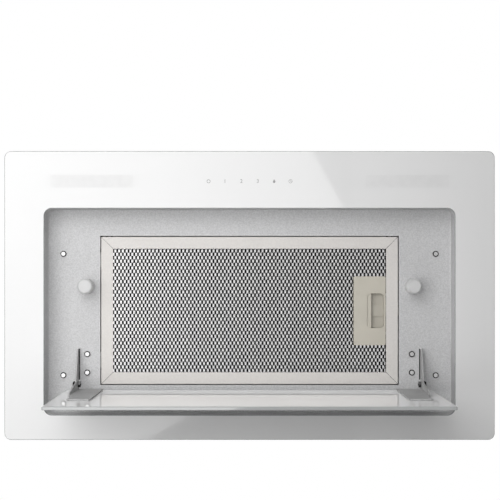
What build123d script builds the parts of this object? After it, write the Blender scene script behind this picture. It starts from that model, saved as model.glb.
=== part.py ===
from build123d import *
from math import cos, radians, sin
import os

# A built-in range hood: a white glass face plate round a shallow recess, a hinged
# suction panel, a swing-down grease filter, and the blower casing above the recess.
# Millimetres. z = 0 is the top of the recess floor, held up against the cabinet board.
# +X is right, -Y is the front, where the cook stands, and +Z is up.
# The origin is the centre of the four cabinet screws.

# --- Driving sizes: face plate --------------------------------------------------------
face_width = 598.0
face_depth = 352.0
face_rear_y = 151.8
face_corner_radius = 8.0
glass_thickness = 4.0
glass_chamfer = 0.6
frame_sheet = 1.0
frame_inset = 2.0
frame_rim_height = 12.0

# --- Recess tray ----------------------------------------------------------------------
opening_width = 501.5
opening_depth = 252.3
opening_rear_y = 121.7
opening_corner_radius = 9.5
recess_depth = 33.0
tray_sheet = 1.0
fold_radius = 2.0
lip_width = 6.0
rim_height = 7.5

# --- Lights and touch controls in the front strip -------------------------------------
window_inner_x = 142.0
window_width = 101.0
window_depth = 15.2
row_share = 0.556
diffuser_lap = 1.5
diffuser_clearance = 0.3
diffuser_thickness = 2.6
light_housing_wall = 1.2
light_housing_height = 15.0
light_housing_lap = 2.0
led_board_thickness = 1.4
led_pitch = 8.0
led_count = 12
led_size = 3.0
led_height = 1.0
key_pitch = 20.0
key_count = 6
key_pad_radius = 3.6
touch_board_width = 132.0
control_gap = 4.0
touch_board_thickness = 1.6
touch_board_rise = 6.0
board_fit = 0.3
control_housing_wall = 1.6
control_housing_height = 17.0

# --- Fixing screws --------------------------------------------------------------------
head_round_share = 0.55
cross_length_share = 1.2
cross_width_share = 0.25
cross_depth_share = 0.6
screw_tip_share = 0.6
screw_neck_share = 0.85
cabinet_screw_span_x = 463.0
cabinet_screw_span_y = 151.0
cabinet_screw_length = 14.0
cabinet_screw_radius = 2.0
screw_clearance = 0.1
pan_head_radius = 3.7
pan_head_height = 2.2

# --- Grease filter --------------------------------------------------------------------
filter_width = 369.2
filter_depth = 183.2
filter_centre_y = -5.0
filter_height = 9.5
filter_gap = 1.2
rail_width = 14.7
rail_sheet = 0.8
rail_edge_chamfer = 0.4
mitre_gap = 0.15
mesh_thickness = 0.8
mesh_grip = 10.0
lug_y = 62.0
lug_width = 20.0
lug_reach = 5.4
lug_sheet = 1.2
lug_lift = 0.15
lug_mesh_gap = 1.0
lug_corner_radius = 2.5
lug_window_play = 2.0

# --- Filter handle and latch ----------------------------------------------------------
plate_gap = 0.6
plate_width = 39.9
plate_length = 85.7
plate_centre_y = -4.65
plate_sheet = 1.0
plate_corner_radius = 2.0
pocket_width = 21.0
pocket_length = 43.3
pocket_radius = 5.0
pocket_edge = 2.1
tub_wall = 1.0
tub_depth = 7.1
tub_floor = 0.6
tub_fit = 0.4
latch_grip_width = 5.7
latch_clearance = 0.2
latch_tip_radius = 2.0
grip_edge_radius = 0.8
latch_arm_width = 14.0
latch_arm_sheet = 1.4
latch_arm_rise = 4.6
latch_reach = 4.5
spring_wire_radius = 0.35
spring_half_width = 4.0
spring_runs = 7
spring_bend_radius = 0.5
spring_clearance = 0.35

# --- Suction panel and its hinges -----------------------------------------------------
suction_gap = 24.3
panel_thickness = 4.0
panel_corner_radius = 3.0
panel_chamfer = 0.8
pivot_inset = 12.2
pivot_rise = 12.0
hinge_sheet = 1.5
hinge_play = 0.15
ear_inner_x = 212.3
ear_end_radius = 6.5
ear_front_drop = 8.0
slot_front_y = 41.9
slot_length = 39.9
slot_inner_x = 210.9
slot_clearance = 0.3
slot_end_clearance = 0.5
foot_inner_x = 196.0
hinge_screw_x = 201.8
hinge_screw_front_y = 49.2
hinge_screw_pitch = 23.0
hinge_screw_length = 9.0
leaf_width = 31.0
leaf_narrow_x = 208.0
leaf_top_drop = 8.0
leaf_ear_drop = 76.0
leaf_ear_tail = 3.5
leaf_end_radius = 6.0
leaf_tip_drop = 128.0
leaf_corner_radius = 3.0
bond_thickness = 0.4
bond_inset = 1.5
pivot_pin_radius = 2.0
pivot_hole_clearance = 0.05
pivot_head_radius = 4.0
pivot_head_height = 3.2
pivot_nut_flats = 7.0
pivot_nut_height = 3.0
pivot_pin_overrun = 0.7

# --- Magnet posts ---------------------------------------------------------------------
post_x = 202.0
post_y = -35.2
post_radius = 9.35
post_bevel = 1.7
post_strike_gap = 0.2
magnet_radius = 6.6
magnet_depth = 4.0
magnet_clearance = 0.1
post_screw_radius = 1.7
post_screw_length = 12.0

# --- Blower casing --------------------------------------------------------------------
casing_width = 387.0
casing_depth = 198.0
casing_height = 190.0
casing_sheet = 0.8
casing_flange = 14.0
side_flange = 10.0
side_screw_heights = (30.0, 95.0, 160.0)
side_tabs = ((-95.0, -55.0), (-10.0, 35.0))
side_tab_width = 6.0
stud_radius = 2.0
stud_height = 7.0
stud_spacing = 130.0
nut_flats = 7.0
nut_height = 3.2
tapping_screw_radius = 1.6
tapping_screw_length = 9.0
tapping_head_radius = 3.4
tapping_head_height = 2.0

# --- Duct collar and its flaps --------------------------------------------------------
collar_radius = 75.0
collar_wall = 1.2
collar_height = 46.0
collar_flange_radius = 90.0
collar_flange_thickness = 1.5
collar_screw_circle_radius = 83.0
flap_pin_radius = 1.5
flap_pin_rise = 14.0
flap_running_clearance = 0.08
flap_barrel_wall = 1.1
flap_sheet = 1.0
flap_edge_gap = 1.6
flap_barrel_count = 8
flap_barrel_gap = 0.5
flap_rest_gap = 0.3
flap_ledge_width = 3.2
flap_ledge_thickness = 1.5
pin_boss_radius = 4.0
pin_boss_length = 5.0

# --- Blower ---------------------------------------------------------------------------
fan_y = 12.0
fan_z = 90.0
scroll_half_width = 62.0
scroll_sheet = 1.0
scroll_start_radius = 64.0
scroll_step = 8.0
scroll_start_angle = 50.0
scroll_flange = 10.0
inlet_radius = 50.0
inlet_lip = 4.0
inlet_lip_wall = 2.0
inlet_lip_round = 1.6
impeller_radius = 58.0
impeller_half_width = 51.0
blade_count = 32
blade_inner_radius = 48.0
blade_sheet = 0.9
blade_sweep = 4.0
blade_bow = 1.2
impeller_ring_width = 4.0
impeller_disc_sheet = 1.2
hub_radius = 11.0
hub_length = 14.0
motor_radius = 38.0
motor_rear_gap = 5.0
motor_wall = 2.0
motor_start_x = 16.0
stator_gap = 0.4
stator_clearance = 2.0
shaft_radius = 4.0
shaft_bore_clearance = 0.05
rotor_radius = 22.0
rotor_air_gap = 0.5
bearing_radius = 11.0
bearing_width = 7.0
bracket_sheet = 2.0
bracket_arm_width = 12.0
bracket_arm_length = 57.0
bracket_foot_radius = 7.0
bracket_hub_radius = 20.0
mount_start_angle = 90.0
mount_radius = 5.0

# --- Electronics ----------------------------------------------------------------------
box_wall = 1.6
box_width = 84.0
box_depth = 88.0
box_height = 34.0
box_left_gap = 12.0
box_centre_y = -46.0
board_thickness = 1.6
board_edge_gap = 2.0
board_rise = 5.0
post_pad = 3.0
relay_count = 4
relay_pitch = 18.0
relay_width = 12.0
relay_depth = 20.0
relay_height = 14.0
capacitor_radius = 11.0
capacitor_length = 55.0
capacitor_chamfer = 1.0
driver_width = 70.0
driver_depth = 44.0
driver_height = 26.0
driver_centre_x = 145.0
driver_corner_radius = 4.0
gland_x = -150.0
gland_y = 60.0
gland_body_radius = 9.0
gland_flange_radius = 12.0
gland_height = 16.0
gland_bore_radius = 3.6
gland_wall = 3.4
gland_lip = 3.0

# --- Places worked out from the sizes -------------------------------------------------
floor_z = -tray_sheet
face_z = floor_z - recess_depth
glass_top_z = face_z + glass_thickness
frame_top_z = glass_top_z + frame_sheet
face_centre_y = face_rear_y - face_depth / 2
face_front_y = face_rear_y - face_depth
opening_centre_y = opening_rear_y - opening_depth / 2
window_centre_x = window_inner_x + window_width / 2
# The lights and keys share one row between the backing frame's rim and the tray's lip.
strip_front_y = face_front_y + frame_inset + frame_sheet
strip_rear_y = opening_rear_y - opening_depth - lip_width
strip_depth = strip_rear_y - strip_front_y
row_y = strip_front_y + row_share * strip_depth
control_half_depth = (1 - row_share) * strip_depth - control_gap
touch_board_depth = 2 * (control_half_depth - control_housing_wall - board_fit)

panel_width = opening_width - 2 * suction_gap
panel_depth = opening_depth - 2 * suction_gap
pivot_y = opening_rear_y - suction_gap - pivot_inset
pivot_z = face_z + pivot_rise
panel_outer_y = pivot_y + pivot_rise
panel_inner_y = panel_outer_y - panel_thickness
panel_top_z = pivot_z + pivot_inset
leaf_outer_y = panel_inner_y - bond_thickness
ear_outer_x = ear_inner_x + hinge_sheet
leaf_ear_x = ear_inner_x - hinge_play
leaf_inner_x = leaf_ear_x - leaf_width
slot_rear_y = slot_front_y + slot_length
slot_outer_x = ear_outer_x + slot_clearance
hinge_screw_rear_y = hinge_screw_front_y + hinge_screw_pitch

filter_opening_width = filter_width + 2 * filter_gap
filter_opening_depth = filter_depth + 2 * filter_gap
filter_top_z = floor_z + filter_height
lip_inside_z = floor_z + rail_sheet
mesh_width = filter_width - 2 * rail_width + 2 * mesh_grip
mesh_depth = filter_depth - 2 * rail_width + 2 * mesh_grip
plate_right_x = filter_width / 2 - rail_width - plate_gap
plate_centre_x = plate_right_x - plate_width / 2
pocket_right_x = plate_right_x - pocket_edge
pocket_left_x = pocket_right_x - pocket_width
tub_inner_right_x = pocket_right_x
tub_inner_left_x = plate_right_x - plate_width + pocket_edge + tub_wall
tub_centre_x = (tub_inner_left_x + tub_inner_right_x) / 2
tub_inner_width = tub_inner_right_x - tub_inner_left_x
tub_top_z = lip_inside_z + tub_depth
latch_arm_z = lip_inside_z + latch_arm_rise
latch_slot_height = latch_arm_sheet + 2 * latch_clearance
latch_slot_z = latch_arm_z - latch_clearance
latch_tip_x = filter_opening_width / 2 + latch_reach
rail_cavity_top_z = filter_top_z - rail_sheet
core_thickness = rail_cavity_top_z - lip_inside_z - 2 * mesh_thickness

closed_leaf_z = face_z + panel_thickness + bond_thickness + hinge_sheet
post_tip_z = closed_leaf_z + post_strike_gap

casing_centre_y = filter_centre_y
casing_front_y = casing_centre_y - casing_depth / 2
casing_rear_y = casing_centre_y + casing_depth / 2
casing_inner_x = casing_width / 2 - casing_sheet
casing_ceiling_z = casing_height - casing_sheet
collar_base_z = casing_height
flap_pin_z = collar_base_z + flap_pin_rise
collar_bore_radius = collar_radius - collar_wall

scroll_face_x = scroll_half_width + scroll_sheet
bracket_x = scroll_face_x + motor_rear_gap
bracket_face_x = bracket_x + bracket_sheet

box_left_x = -casing_inner_x + box_left_gap
box_centre_x = box_left_x + box_width / 2
box_bottom_z = casing_ceiling_z - box_height


def pan_screw(head_radius, head_height, shank_radius, length, neck_length=0.0):
    """A cross-head screw on Z: the head hangs below the origin and the shank stands above it.

    neck_length is the plain neck under the head, where the screw passes through a sheet.
    """
    with BuildPart() as screw:
        with BuildSketch(Plane.XY):
            Circle(head_radius)
        extrude(amount=-head_height)
        fillet(screw.faces().sort_by(Axis.Z)[0].edges(), head_height * head_round_share)
        with BuildSketch(Plane.XY.offset(-head_height)):
            Rectangle(head_radius * cross_length_share, head_radius * cross_width_share)
            Rectangle(head_radius * cross_width_share, head_radius * cross_length_share)
        extrude(amount=head_height * cross_depth_share, mode=Mode.SUBTRACT)
        with BuildSketch(Plane.XY):
            Circle(shank_radius)
        extrude(amount=length)
        chamfer(screw.faces().sort_by(Axis.Z)[-1].edges(), shank_radius * screw_tip_share)
        if neck_length:
            with BuildSketch(Plane.XY):
                Circle(shank_radius)
                Circle(shank_radius * screw_neck_share, mode=Mode.SUBTRACT)
            extrude(amount=neck_length, mode=Mode.SUBTRACT)
    return screw.part


def hex_nut(flats, height, bore_radius):
    """A hexagon nut standing on the XY plane."""
    with BuildPart() as nut:
        with BuildSketch(Plane.XY):
            RegularPolygon(flats / 2, 6, major_radius=False)
            Circle(bore_radius, mode=Mode.SUBTRACT)
        extrude(amount=height)
    return nut.part


def mirrored(piece):
    """The left-hand twin of a right-hand piece."""
    with BuildPart() as twin:
        mirror(piece.part, about=Plane.YZ)
    return twin


# --- Face plate -----------------------------------------------------------------------
with BuildPart() as face_glass:
    with BuildSketch(Plane.XY.offset(face_z)):
        with Locations((0, face_centre_y)):
            RectangleRounded(face_width, face_depth, face_corner_radius)
        with Locations((0, opening_centre_y)):
            RectangleRounded(opening_width, opening_depth, opening_corner_radius, mode=Mode.SUBTRACT)
    extrude(amount=glass_thickness)
    chamfer(face_glass.faces().sort_by(Axis.Z)[0].edges(), glass_chamfer)

frame_width = face_width - 2 * frame_inset
frame_depth = face_depth - 2 * frame_inset
frame_radius = face_corner_radius - frame_inset
with BuildPart() as face_backing_frame:
    with BuildSketch(Plane.XY.offset(glass_top_z)):
        with Locations((0, face_centre_y)):
            RectangleRounded(frame_width, frame_depth, frame_radius)
    extrude(amount=frame_rim_height)
    with BuildSketch(Plane.XY.offset(frame_top_z)):
        with Locations((0, face_centre_y)):
            RectangleRounded(frame_width - 2 * frame_sheet, frame_depth - 2 * frame_sheet,
                             frame_radius - frame_sheet)
    extrude(amount=frame_rim_height, mode=Mode.SUBTRACT)
    with BuildSketch(Plane.XY.offset(glass_top_z)):
        with Locations((0, opening_centre_y)):
            RectangleRounded(opening_width + tray_sheet, opening_depth + tray_sheet,
                             opening_corner_radius + tray_sheet / 2)
        with Locations((-window_centre_x, row_y), (window_centre_x, row_y)):
            Rectangle(window_width + 2 * (diffuser_lap + diffuser_clearance),
                      window_depth + 2 * (diffuser_lap + diffuser_clearance))
        with Locations((0, row_y)):
            Rectangle((key_count - 1) * key_pitch + 4 * key_pad_radius, 4 * key_pad_radius)
    extrude(amount=frame_sheet, mode=Mode.SUBTRACT)

# --- Recess tray: floor, walls, lip, filter opening, slots, holes and weld studs ------
cabinet_screw_places = [(x, y) for x in (-cabinet_screw_span_x / 2, cabinet_screw_span_x / 2)
                        for y in (-cabinet_screw_span_y / 2, cabinet_screw_span_y / 2)]
hinge_screw_places = [(x, y) for x in (-hinge_screw_x, hinge_screw_x)
                      for y in (hinge_screw_front_y, hinge_screw_rear_y)]
post_places = [(-post_x, post_y), (post_x, post_y)]
stud_front_y = casing_front_y - casing_flange / 2
stud_rear_y = casing_rear_y + casing_flange / 2
stud_places = [(x, y) for x in (-stud_spacing, 0, stud_spacing) for y in (stud_front_y, stud_rear_y)]
lug_places = [filter_centre_y - lug_y, filter_centre_y + lug_y]
rim_width = filter_opening_width + 2 * tray_sheet
rim_depth = filter_opening_depth + 2 * tray_sheet

with BuildPart() as recess_tray:
    with BuildSketch(Plane.XY.offset(frame_top_z)):
        with Locations((0, opening_centre_y)):
            RectangleRounded(opening_width + 2 * tray_sheet, opening_depth + 2 * tray_sheet,
                             opening_corner_radius + tray_sheet)
    extrude(amount=-frame_top_z)
    fillet(recess_tray.faces().sort_by(Axis.Z)[-1].edges(), fold_radius + tray_sheet)
    with BuildSketch(Plane.XY.offset(frame_top_z)):
        with Locations((0, opening_centre_y)):
            RectangleRounded(opening_width, opening_depth, opening_corner_radius)
    extrude(amount=floor_z - frame_top_z, mode=Mode.SUBTRACT)
    floor_faces = recess_tray.faces().filter_by(Plane.XY)
    floor_underside = floor_faces.filter_by_position(Axis.Z, floor_z - tray_sheet / 2,
                                                     floor_z + tray_sheet / 2)[0]
    fillet(floor_underside.edges(), fold_radius)
    with BuildSketch(Plane.XY.offset(frame_top_z)):
        with Locations((0, opening_centre_y)):
            RectangleRounded(opening_width + 2 * lip_width, opening_depth + 2 * lip_width,
                             opening_corner_radius + lip_width)
            RectangleRounded(opening_width, opening_depth, opening_corner_radius, mode=Mode.SUBTRACT)
    extrude(amount=tray_sheet)
    with BuildSketch(Plane.XY):
        with Locations((0, filter_centre_y)):
            Rectangle(rim_width, rim_depth)
    extrude(amount=rim_height)
    with BuildSketch(Plane.XY.offset(floor_z)):
        with Locations((0, filter_centre_y)):
            Rectangle(filter_opening_width, filter_opening_depth)
    extrude(amount=rim_height - floor_z, mode=Mode.SUBTRACT)
    # Rim windows: two for the filter's lugs on the left, one for the latch on the right.
    with BuildSketch(Plane.XY):
        for place in lug_places:
            with Locations((-rim_width / 2, place)):
                Rectangle(4 * tray_sheet, lug_width + lug_window_play)
    extrude(amount=rim_height - tray_sheet, mode=Mode.SUBTRACT)
    with BuildSketch(Plane.XY.offset(latch_slot_z)):
        with Locations((rim_width / 2, plate_centre_y)):
            Rectangle(4 * tray_sheet, latch_arm_width + 4 * latch_clearance)
    extrude(amount=latch_slot_height, mode=Mode.SUBTRACT)
    # Hinge slots and screw holes.
    with BuildSketch(Plane.XY.offset(floor_z)):
        for side in (-1, 1):
            with Locations((side * (slot_inner_x + slot_outer_x) / 2, slot_front_y + slot_length / 2)):
                Rectangle(slot_outer_x - slot_inner_x, slot_length)
        with Locations(*cabinet_screw_places, *hinge_screw_places):
            Circle(cabinet_screw_radius + screw_clearance)
        with Locations(*post_places):
            Circle(post_screw_radius + screw_clearance)
    extrude(amount=tray_sheet, mode=Mode.SUBTRACT)
    with BuildSketch(Plane.XY):
        with Locations(*stud_places):
            Circle(stud_radius)
    extrude(amount=stud_height)

# --- Lights ---------------------------------------------------------------------------
with BuildPart() as light_diffuser_right:
    with BuildSketch(Plane.XY.offset(glass_top_z)):
        with Locations((window_centre_x, row_y)):
            Rectangle(window_width + 2 * diffuser_lap, window_depth + 2 * diffuser_lap)
    extrude(amount=diffuser_thickness)
    fillet(light_diffuser_right.edges().filter_by(Axis.Z), diffuser_lap)
light_diffuser_left = mirrored(light_diffuser_right)

housing_width = window_width + 2 * (diffuser_lap + light_housing_lap)
housing_depth = window_depth + 2 * (diffuser_lap + light_housing_lap)
with BuildPart() as light_housing_right:
    with BuildSketch(Plane.XY.offset(frame_top_z)):
        with Locations((window_centre_x, row_y)):
            Rectangle(housing_width, housing_depth)
    extrude(amount=light_housing_height)
    fillet(light_housing_right.edges().filter_by(Axis.Z), light_housing_lap)
    with BuildSketch(Plane.XY.offset(frame_top_z)):
        with Locations((window_centre_x, row_y)):
            Rectangle(housing_width - 2 * light_housing_wall, housing_depth - 2 * light_housing_wall)
    extrude(amount=light_housing_height - light_housing_wall, mode=Mode.SUBTRACT)
light_housing_left = mirrored(light_housing_right)

led_board_z = frame_top_z + light_housing_height - light_housing_wall - led_board_thickness
with BuildPart() as led_boards:
    with BuildSketch(Plane.XY.offset(led_board_z)):
        with Locations((-window_centre_x, row_y), (window_centre_x, row_y)):
            Rectangle(window_width, window_depth)
    extrude(amount=led_board_thickness)
    with BuildSketch(Plane.XY.offset(led_board_z)):
        for side in (-1, 1):
            with Locations((side * window_centre_x, row_y)):
                with GridLocations(led_pitch, 1, led_count, 1):
                    Rectangle(led_size, led_size)
    extrude(amount=-led_height)

# --- Touch controls -------------------------------------------------------------------
touch_board_z = glass_top_z + touch_board_rise
with BuildPart() as touch_board:
    with BuildSketch(Plane.XY.offset(touch_board_z)):
        with Locations((0, row_y)):
            Rectangle(touch_board_width, touch_board_depth)
    extrude(amount=touch_board_thickness)

with BuildPart() as touch_pads:
    with BuildSketch(Plane.XY.offset(glass_top_z)):
        with Locations((0, row_y)):
            with GridLocations(key_pitch, 1, key_count, 1):
                Circle(key_pad_radius)
    extrude(amount=touch_board_rise)

control_inner_width = touch_board_width + 2 * board_fit
control_inner_depth = touch_board_depth + 2 * board_fit
with BuildPart() as control_housing:
    with BuildSketch(Plane.XY.offset(frame_top_z)):
        with Locations((0, row_y)):
            Rectangle(control_inner_width + 2 * control_housing_wall,
                      control_inner_depth + 2 * control_housing_wall)
    extrude(amount=control_housing_height)
    fillet(control_housing.edges().filter_by(Axis.Z), control_housing_wall)
    with BuildSketch(Plane.XY.offset(touch_board_z)):
        with Locations((0, row_y)):
            Rectangle(control_inner_width, control_inner_depth)
    extrude(amount=frame_top_z + control_housing_height - control_housing_wall - touch_board_z,
            mode=Mode.SUBTRACT)
    with BuildSketch(Plane.XY.offset(frame_top_z)):
        with Locations((0, row_y)):
            Rectangle(control_inner_width - 2 * control_housing_wall,
                      control_inner_depth - 2 * control_housing_wall)
    extrude(amount=touch_board_z - frame_top_z, mode=Mode.SUBTRACT)

# --- Screws through the recess floor --------------------------------------------------
floor_screw = pan_screw(pan_head_radius, pan_head_height, cabinet_screw_radius,
                        cabinet_screw_length + tray_sheet, neck_length=tray_sheet)
with BuildPart() as cabinet_screws:
    with Locations(*[(x, y, floor_z) for x, y in cabinet_screw_places]):
        add(floor_screw)

hinge_screw = pan_screw(pan_head_radius, pan_head_height, cabinet_screw_radius, hinge_screw_length)
with BuildPart() as hinge_screws:
    with Locations(*[(x, y, floor_z) for x, y in hinge_screw_places]):
        add(hinge_screw)

# --- Grease filter --------------------------------------------------------------------
def rail_blank(length):
    """A channel along X, outer wall at y = 0, open toward +Y, its ends cut at 45 degrees."""
    half = length / 2 - mitre_gap
    with BuildPart() as rail:
        with BuildSketch(Plane.XY.offset(floor_z)):
            with BuildLine():
                Polyline((-half, 0), (half, 0), (half - rail_width, rail_width),
                         (rail_width - half, rail_width), close=True)
            make_face()
        extrude(amount=filter_height)
        outer_edge = rail.edges().filter_by(Axis.X).sort_by(Axis.Z).group_by(Axis.Z)[0].sort_by(Axis.Y)[0]
        chamfer(outer_edge, rail_edge_chamfer)
        with BuildSketch(Plane.XY.offset(lip_inside_z)):
            with Locations((0, rail_sheet + rail_width / 2)):
                Rectangle(length, rail_width)
        extrude(amount=filter_height - 2 * rail_sheet, mode=Mode.SUBTRACT)
    return rail.part


filter_front_y = filter_centre_y - filter_depth / 2
filter_rear_y = filter_centre_y + filter_depth / 2
with BuildPart() as filter_rail_front:
    with Locations(Location((0, filter_front_y, 0), (0, 0, 0))):
        add(rail_blank(filter_width))
with BuildPart() as filter_rail_rear:
    with Locations(Location((0, filter_rear_y, 0), (0, 0, 180))):
        add(rail_blank(filter_width))
with BuildPart() as filter_rail_left:
    with Locations(Location((-filter_width / 2, filter_centre_y, 0), (0, 0, -90))):
        add(rail_blank(filter_depth))
    for place in lug_places:
        with BuildSketch(Plane.XY.offset(lug_lift)):
            with Locations((-filter_width / 2, place)):
                Rectangle(4 * rail_sheet, lug_width)
        extrude(amount=lug_sheet, mode=Mode.SUBTRACT)
with BuildPart() as filter_rail_right:
    with Locations(Location((filter_width / 2, filter_centre_y, 0), (0, 0, 90))):
        add(rail_blank(filter_depth))
    with BuildSketch(Plane.XY.offset(latch_slot_z)):
        with Locations((filter_width / 2, plate_centre_y)):
            Rectangle(4 * rail_sheet, latch_arm_width + 4 * latch_clearance)
    extrude(amount=latch_slot_height, mode=Mode.SUBTRACT)

lug_inner_x = mesh_width / 2 + lug_mesh_gap
lug_tip_x = filter_opening_width / 2 + lug_reach
with BuildPart() as filter_lugs:
    with BuildSketch(Plane.XY.offset(lug_lift)):
        for place in lug_places:
            with Locations((-(lug_inner_x + lug_tip_x) / 2, place)):
                Rectangle(lug_tip_x - lug_inner_x, lug_width)
    extrude(amount=lug_sheet)
    fillet(filter_lugs.edges().filter_by(Axis.Z).group_by(Axis.X)[0], lug_corner_radius)

tub_outer_length = pocket_length + 2 * tub_wall
tub_outer_width = tub_inner_width + 2 * tub_wall


def filter_layer(height, thickness):
    """A mesh-sized layer with a cut-out round the latch tub and the latch's arm."""
    with BuildPart() as layer:
        with BuildSketch(Plane.XY.offset(height)):
            with Locations((0, filter_centre_y)):
                Rectangle(mesh_width, mesh_depth)
            with Locations((tub_centre_x, plate_centre_y)):
                Rectangle(tub_outer_width + 2 * tub_fit, tub_outer_length + 2 * tub_fit,
                          mode=Mode.SUBTRACT)
            with Locations((mesh_width / 2, plate_centre_y)):
                Rectangle(mesh_width - 2 * tub_centre_x, latch_arm_width + 4 * latch_clearance,
                          mode=Mode.SUBTRACT)
        extrude(amount=thickness)
    return layer


filter_mesh_lower = filter_layer(lip_inside_z, mesh_thickness)
filter_core = filter_layer(lip_inside_z + mesh_thickness, core_thickness)
with BuildPart() as filter_mesh_upper:
    with BuildSketch(Plane.XY.offset(rail_cavity_top_z - mesh_thickness)):
        with Locations((0, filter_centre_y)):
            Rectangle(mesh_width, mesh_depth)
    extrude(amount=mesh_thickness)

with BuildPart() as filter_handle_plate:
    with BuildSketch(Plane.XY.offset(lip_inside_z - plate_sheet)):
        with Locations((plate_centre_x, plate_centre_y)):
            RectangleRounded(plate_width, plate_length, plate_corner_radius)
    extrude(amount=plate_sheet)
    with BuildSketch(Plane.XY.offset(lip_inside_z)):
        with Locations((tub_centre_x, plate_centre_y)):
            Rectangle(tub_outer_width, tub_outer_length)
    extrude(amount=tub_depth)
    with BuildSketch(Plane.XY.offset(lip_inside_z)):
        with Locations((tub_centre_x, plate_centre_y)):
            Rectangle(tub_inner_width, pocket_length)
    extrude(amount=tub_depth - tub_floor, mode=Mode.SUBTRACT)
    with BuildSketch(Plane.XY.offset(lip_inside_z - plate_sheet)):
        with Locations((pocket_right_x - pocket_width / 2, plate_centre_y)):
            RectangleRounded(pocket_width, pocket_length, pocket_radius)
    extrude(amount=plate_sheet, mode=Mode.SUBTRACT)
    with BuildSketch(Plane.XY.offset(latch_slot_z)):
        with Locations((tub_inner_right_x, plate_centre_y)):
            Rectangle(4 * tub_wall, latch_arm_width + 4 * latch_clearance)
    extrude(amount=latch_slot_height, mode=Mode.SUBTRACT)

with BuildPart() as filter_latch:
    with BuildSketch(Plane.XY.offset(lip_inside_z + latch_clearance)):
        with Locations((pocket_left_x + latch_grip_width / 2, plate_centre_y)):
            Rectangle(latch_grip_width, pocket_length - 2 * latch_clearance)
    extrude(amount=latch_arm_z + latch_arm_sheet - lip_inside_z - latch_clearance)
    fillet(filter_latch.faces().sort_by(Axis.Z)[0].edges().filter_by(Axis.Y), grip_edge_radius)
    with BuildSketch(Plane.XY.offset(latch_arm_z)):
        with Locations(((pocket_left_x + latch_tip_x) / 2, plate_centre_y)):
            Rectangle(latch_tip_x - pocket_left_x, latch_arm_width)
    extrude(amount=latch_arm_sheet)
    fillet(filter_latch.edges().filter_by(Axis.Z).group_by(Axis.X)[-1], latch_tip_radius)

spring_start_x = tub_inner_left_x + spring_clearance
spring_end_x = pocket_left_x - spring_clearance
spring_pitch = (spring_end_x - spring_start_x) / spring_runs
spring_z = (lip_inside_z + tub_top_z - tub_floor) / 2
spring_points = [(spring_start_x + spring_wire_radius, plate_centre_y)]
for run in range(spring_runs):
    side = 1 if run % 2 == 0 else -1
    run_x = spring_start_x + spring_pitch * (run + 0.5)
    spring_points.append((run_x, plate_centre_y + side * spring_half_width))
spring_points.append((spring_end_x - spring_wire_radius, plate_centre_y))
with BuildPart() as latch_spring:
    with BuildLine(Plane.XY.offset(spring_z)):
        FilletPolyline(*spring_points, radius=spring_bend_radius)
    with BuildSketch(Plane(origin=(*spring_points[0], spring_z),
                           z_dir=(spring_points[1][0] - spring_points[0][0],
                                  spring_points[1][1] - spring_points[0][1], 0))):
        Circle(spring_wire_radius)
    sweep()

# --- Hinges ---------------------------------------------------------------------------
ear_front_y = slot_front_y + slot_end_clearance
ear_rear_y = slot_rear_y - slot_end_clearance
with BuildPart() as hinge_plate_right:
    with BuildSketch(Plane.YZ.offset(ear_inner_x)):
        with Locations((pivot_y, pivot_z)):
            Circle(ear_end_radius)
        with BuildLine():
            Polyline((ear_front_y, floor_z), (ear_rear_y, floor_z),
                     (ear_rear_y, floor_z - hinge_sheet), (ear_front_y, floor_z - ear_front_drop),
                     close=True)
        make_hull()
    extrude(amount=hinge_sheet)
    with BuildSketch(Plane.YZ.offset(ear_inner_x)):
        with Locations(((ear_front_y + ear_rear_y) / 2, hinge_sheet / 2 + floor_z / 2)):
            Rectangle(ear_rear_y - ear_front_y, hinge_sheet - floor_z)
    extrude(amount=hinge_sheet)
    with BuildSketch(Plane.XY):
        with Locations(((foot_inner_x + ear_outer_x) / 2, (ear_front_y + ear_rear_y) / 2)):
            Rectangle(ear_outer_x - foot_inner_x, ear_rear_y - ear_front_y)
        with Locations((hinge_screw_x, hinge_screw_front_y), (hinge_screw_x, hinge_screw_rear_y)):
            Circle(cabinet_screw_radius + screw_clearance, mode=Mode.SUBTRACT)
    extrude(amount=hinge_sheet)
    with BuildSketch(Plane.YZ.offset(ear_inner_x)):
        with Locations((pivot_y, pivot_z)):
            Circle(pivot_pin_radius + pivot_hole_clearance)
    extrude(amount=hinge_sheet, mode=Mode.SUBTRACT)
hinge_plate_left = mirrored(hinge_plate_right)

seal_width = ear_inner_x - slot_inner_x
with BuildPart() as slot_seals:
    with BuildSketch(Plane.XY):
        for side in (-1, 1):
            with Locations((side * (slot_inner_x + seal_width / 2), slot_front_y + slot_length / 2)):
                Rectangle(seal_width, ear_rear_y - ear_front_y)
    extrude(amount=floor_z / 2)

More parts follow.
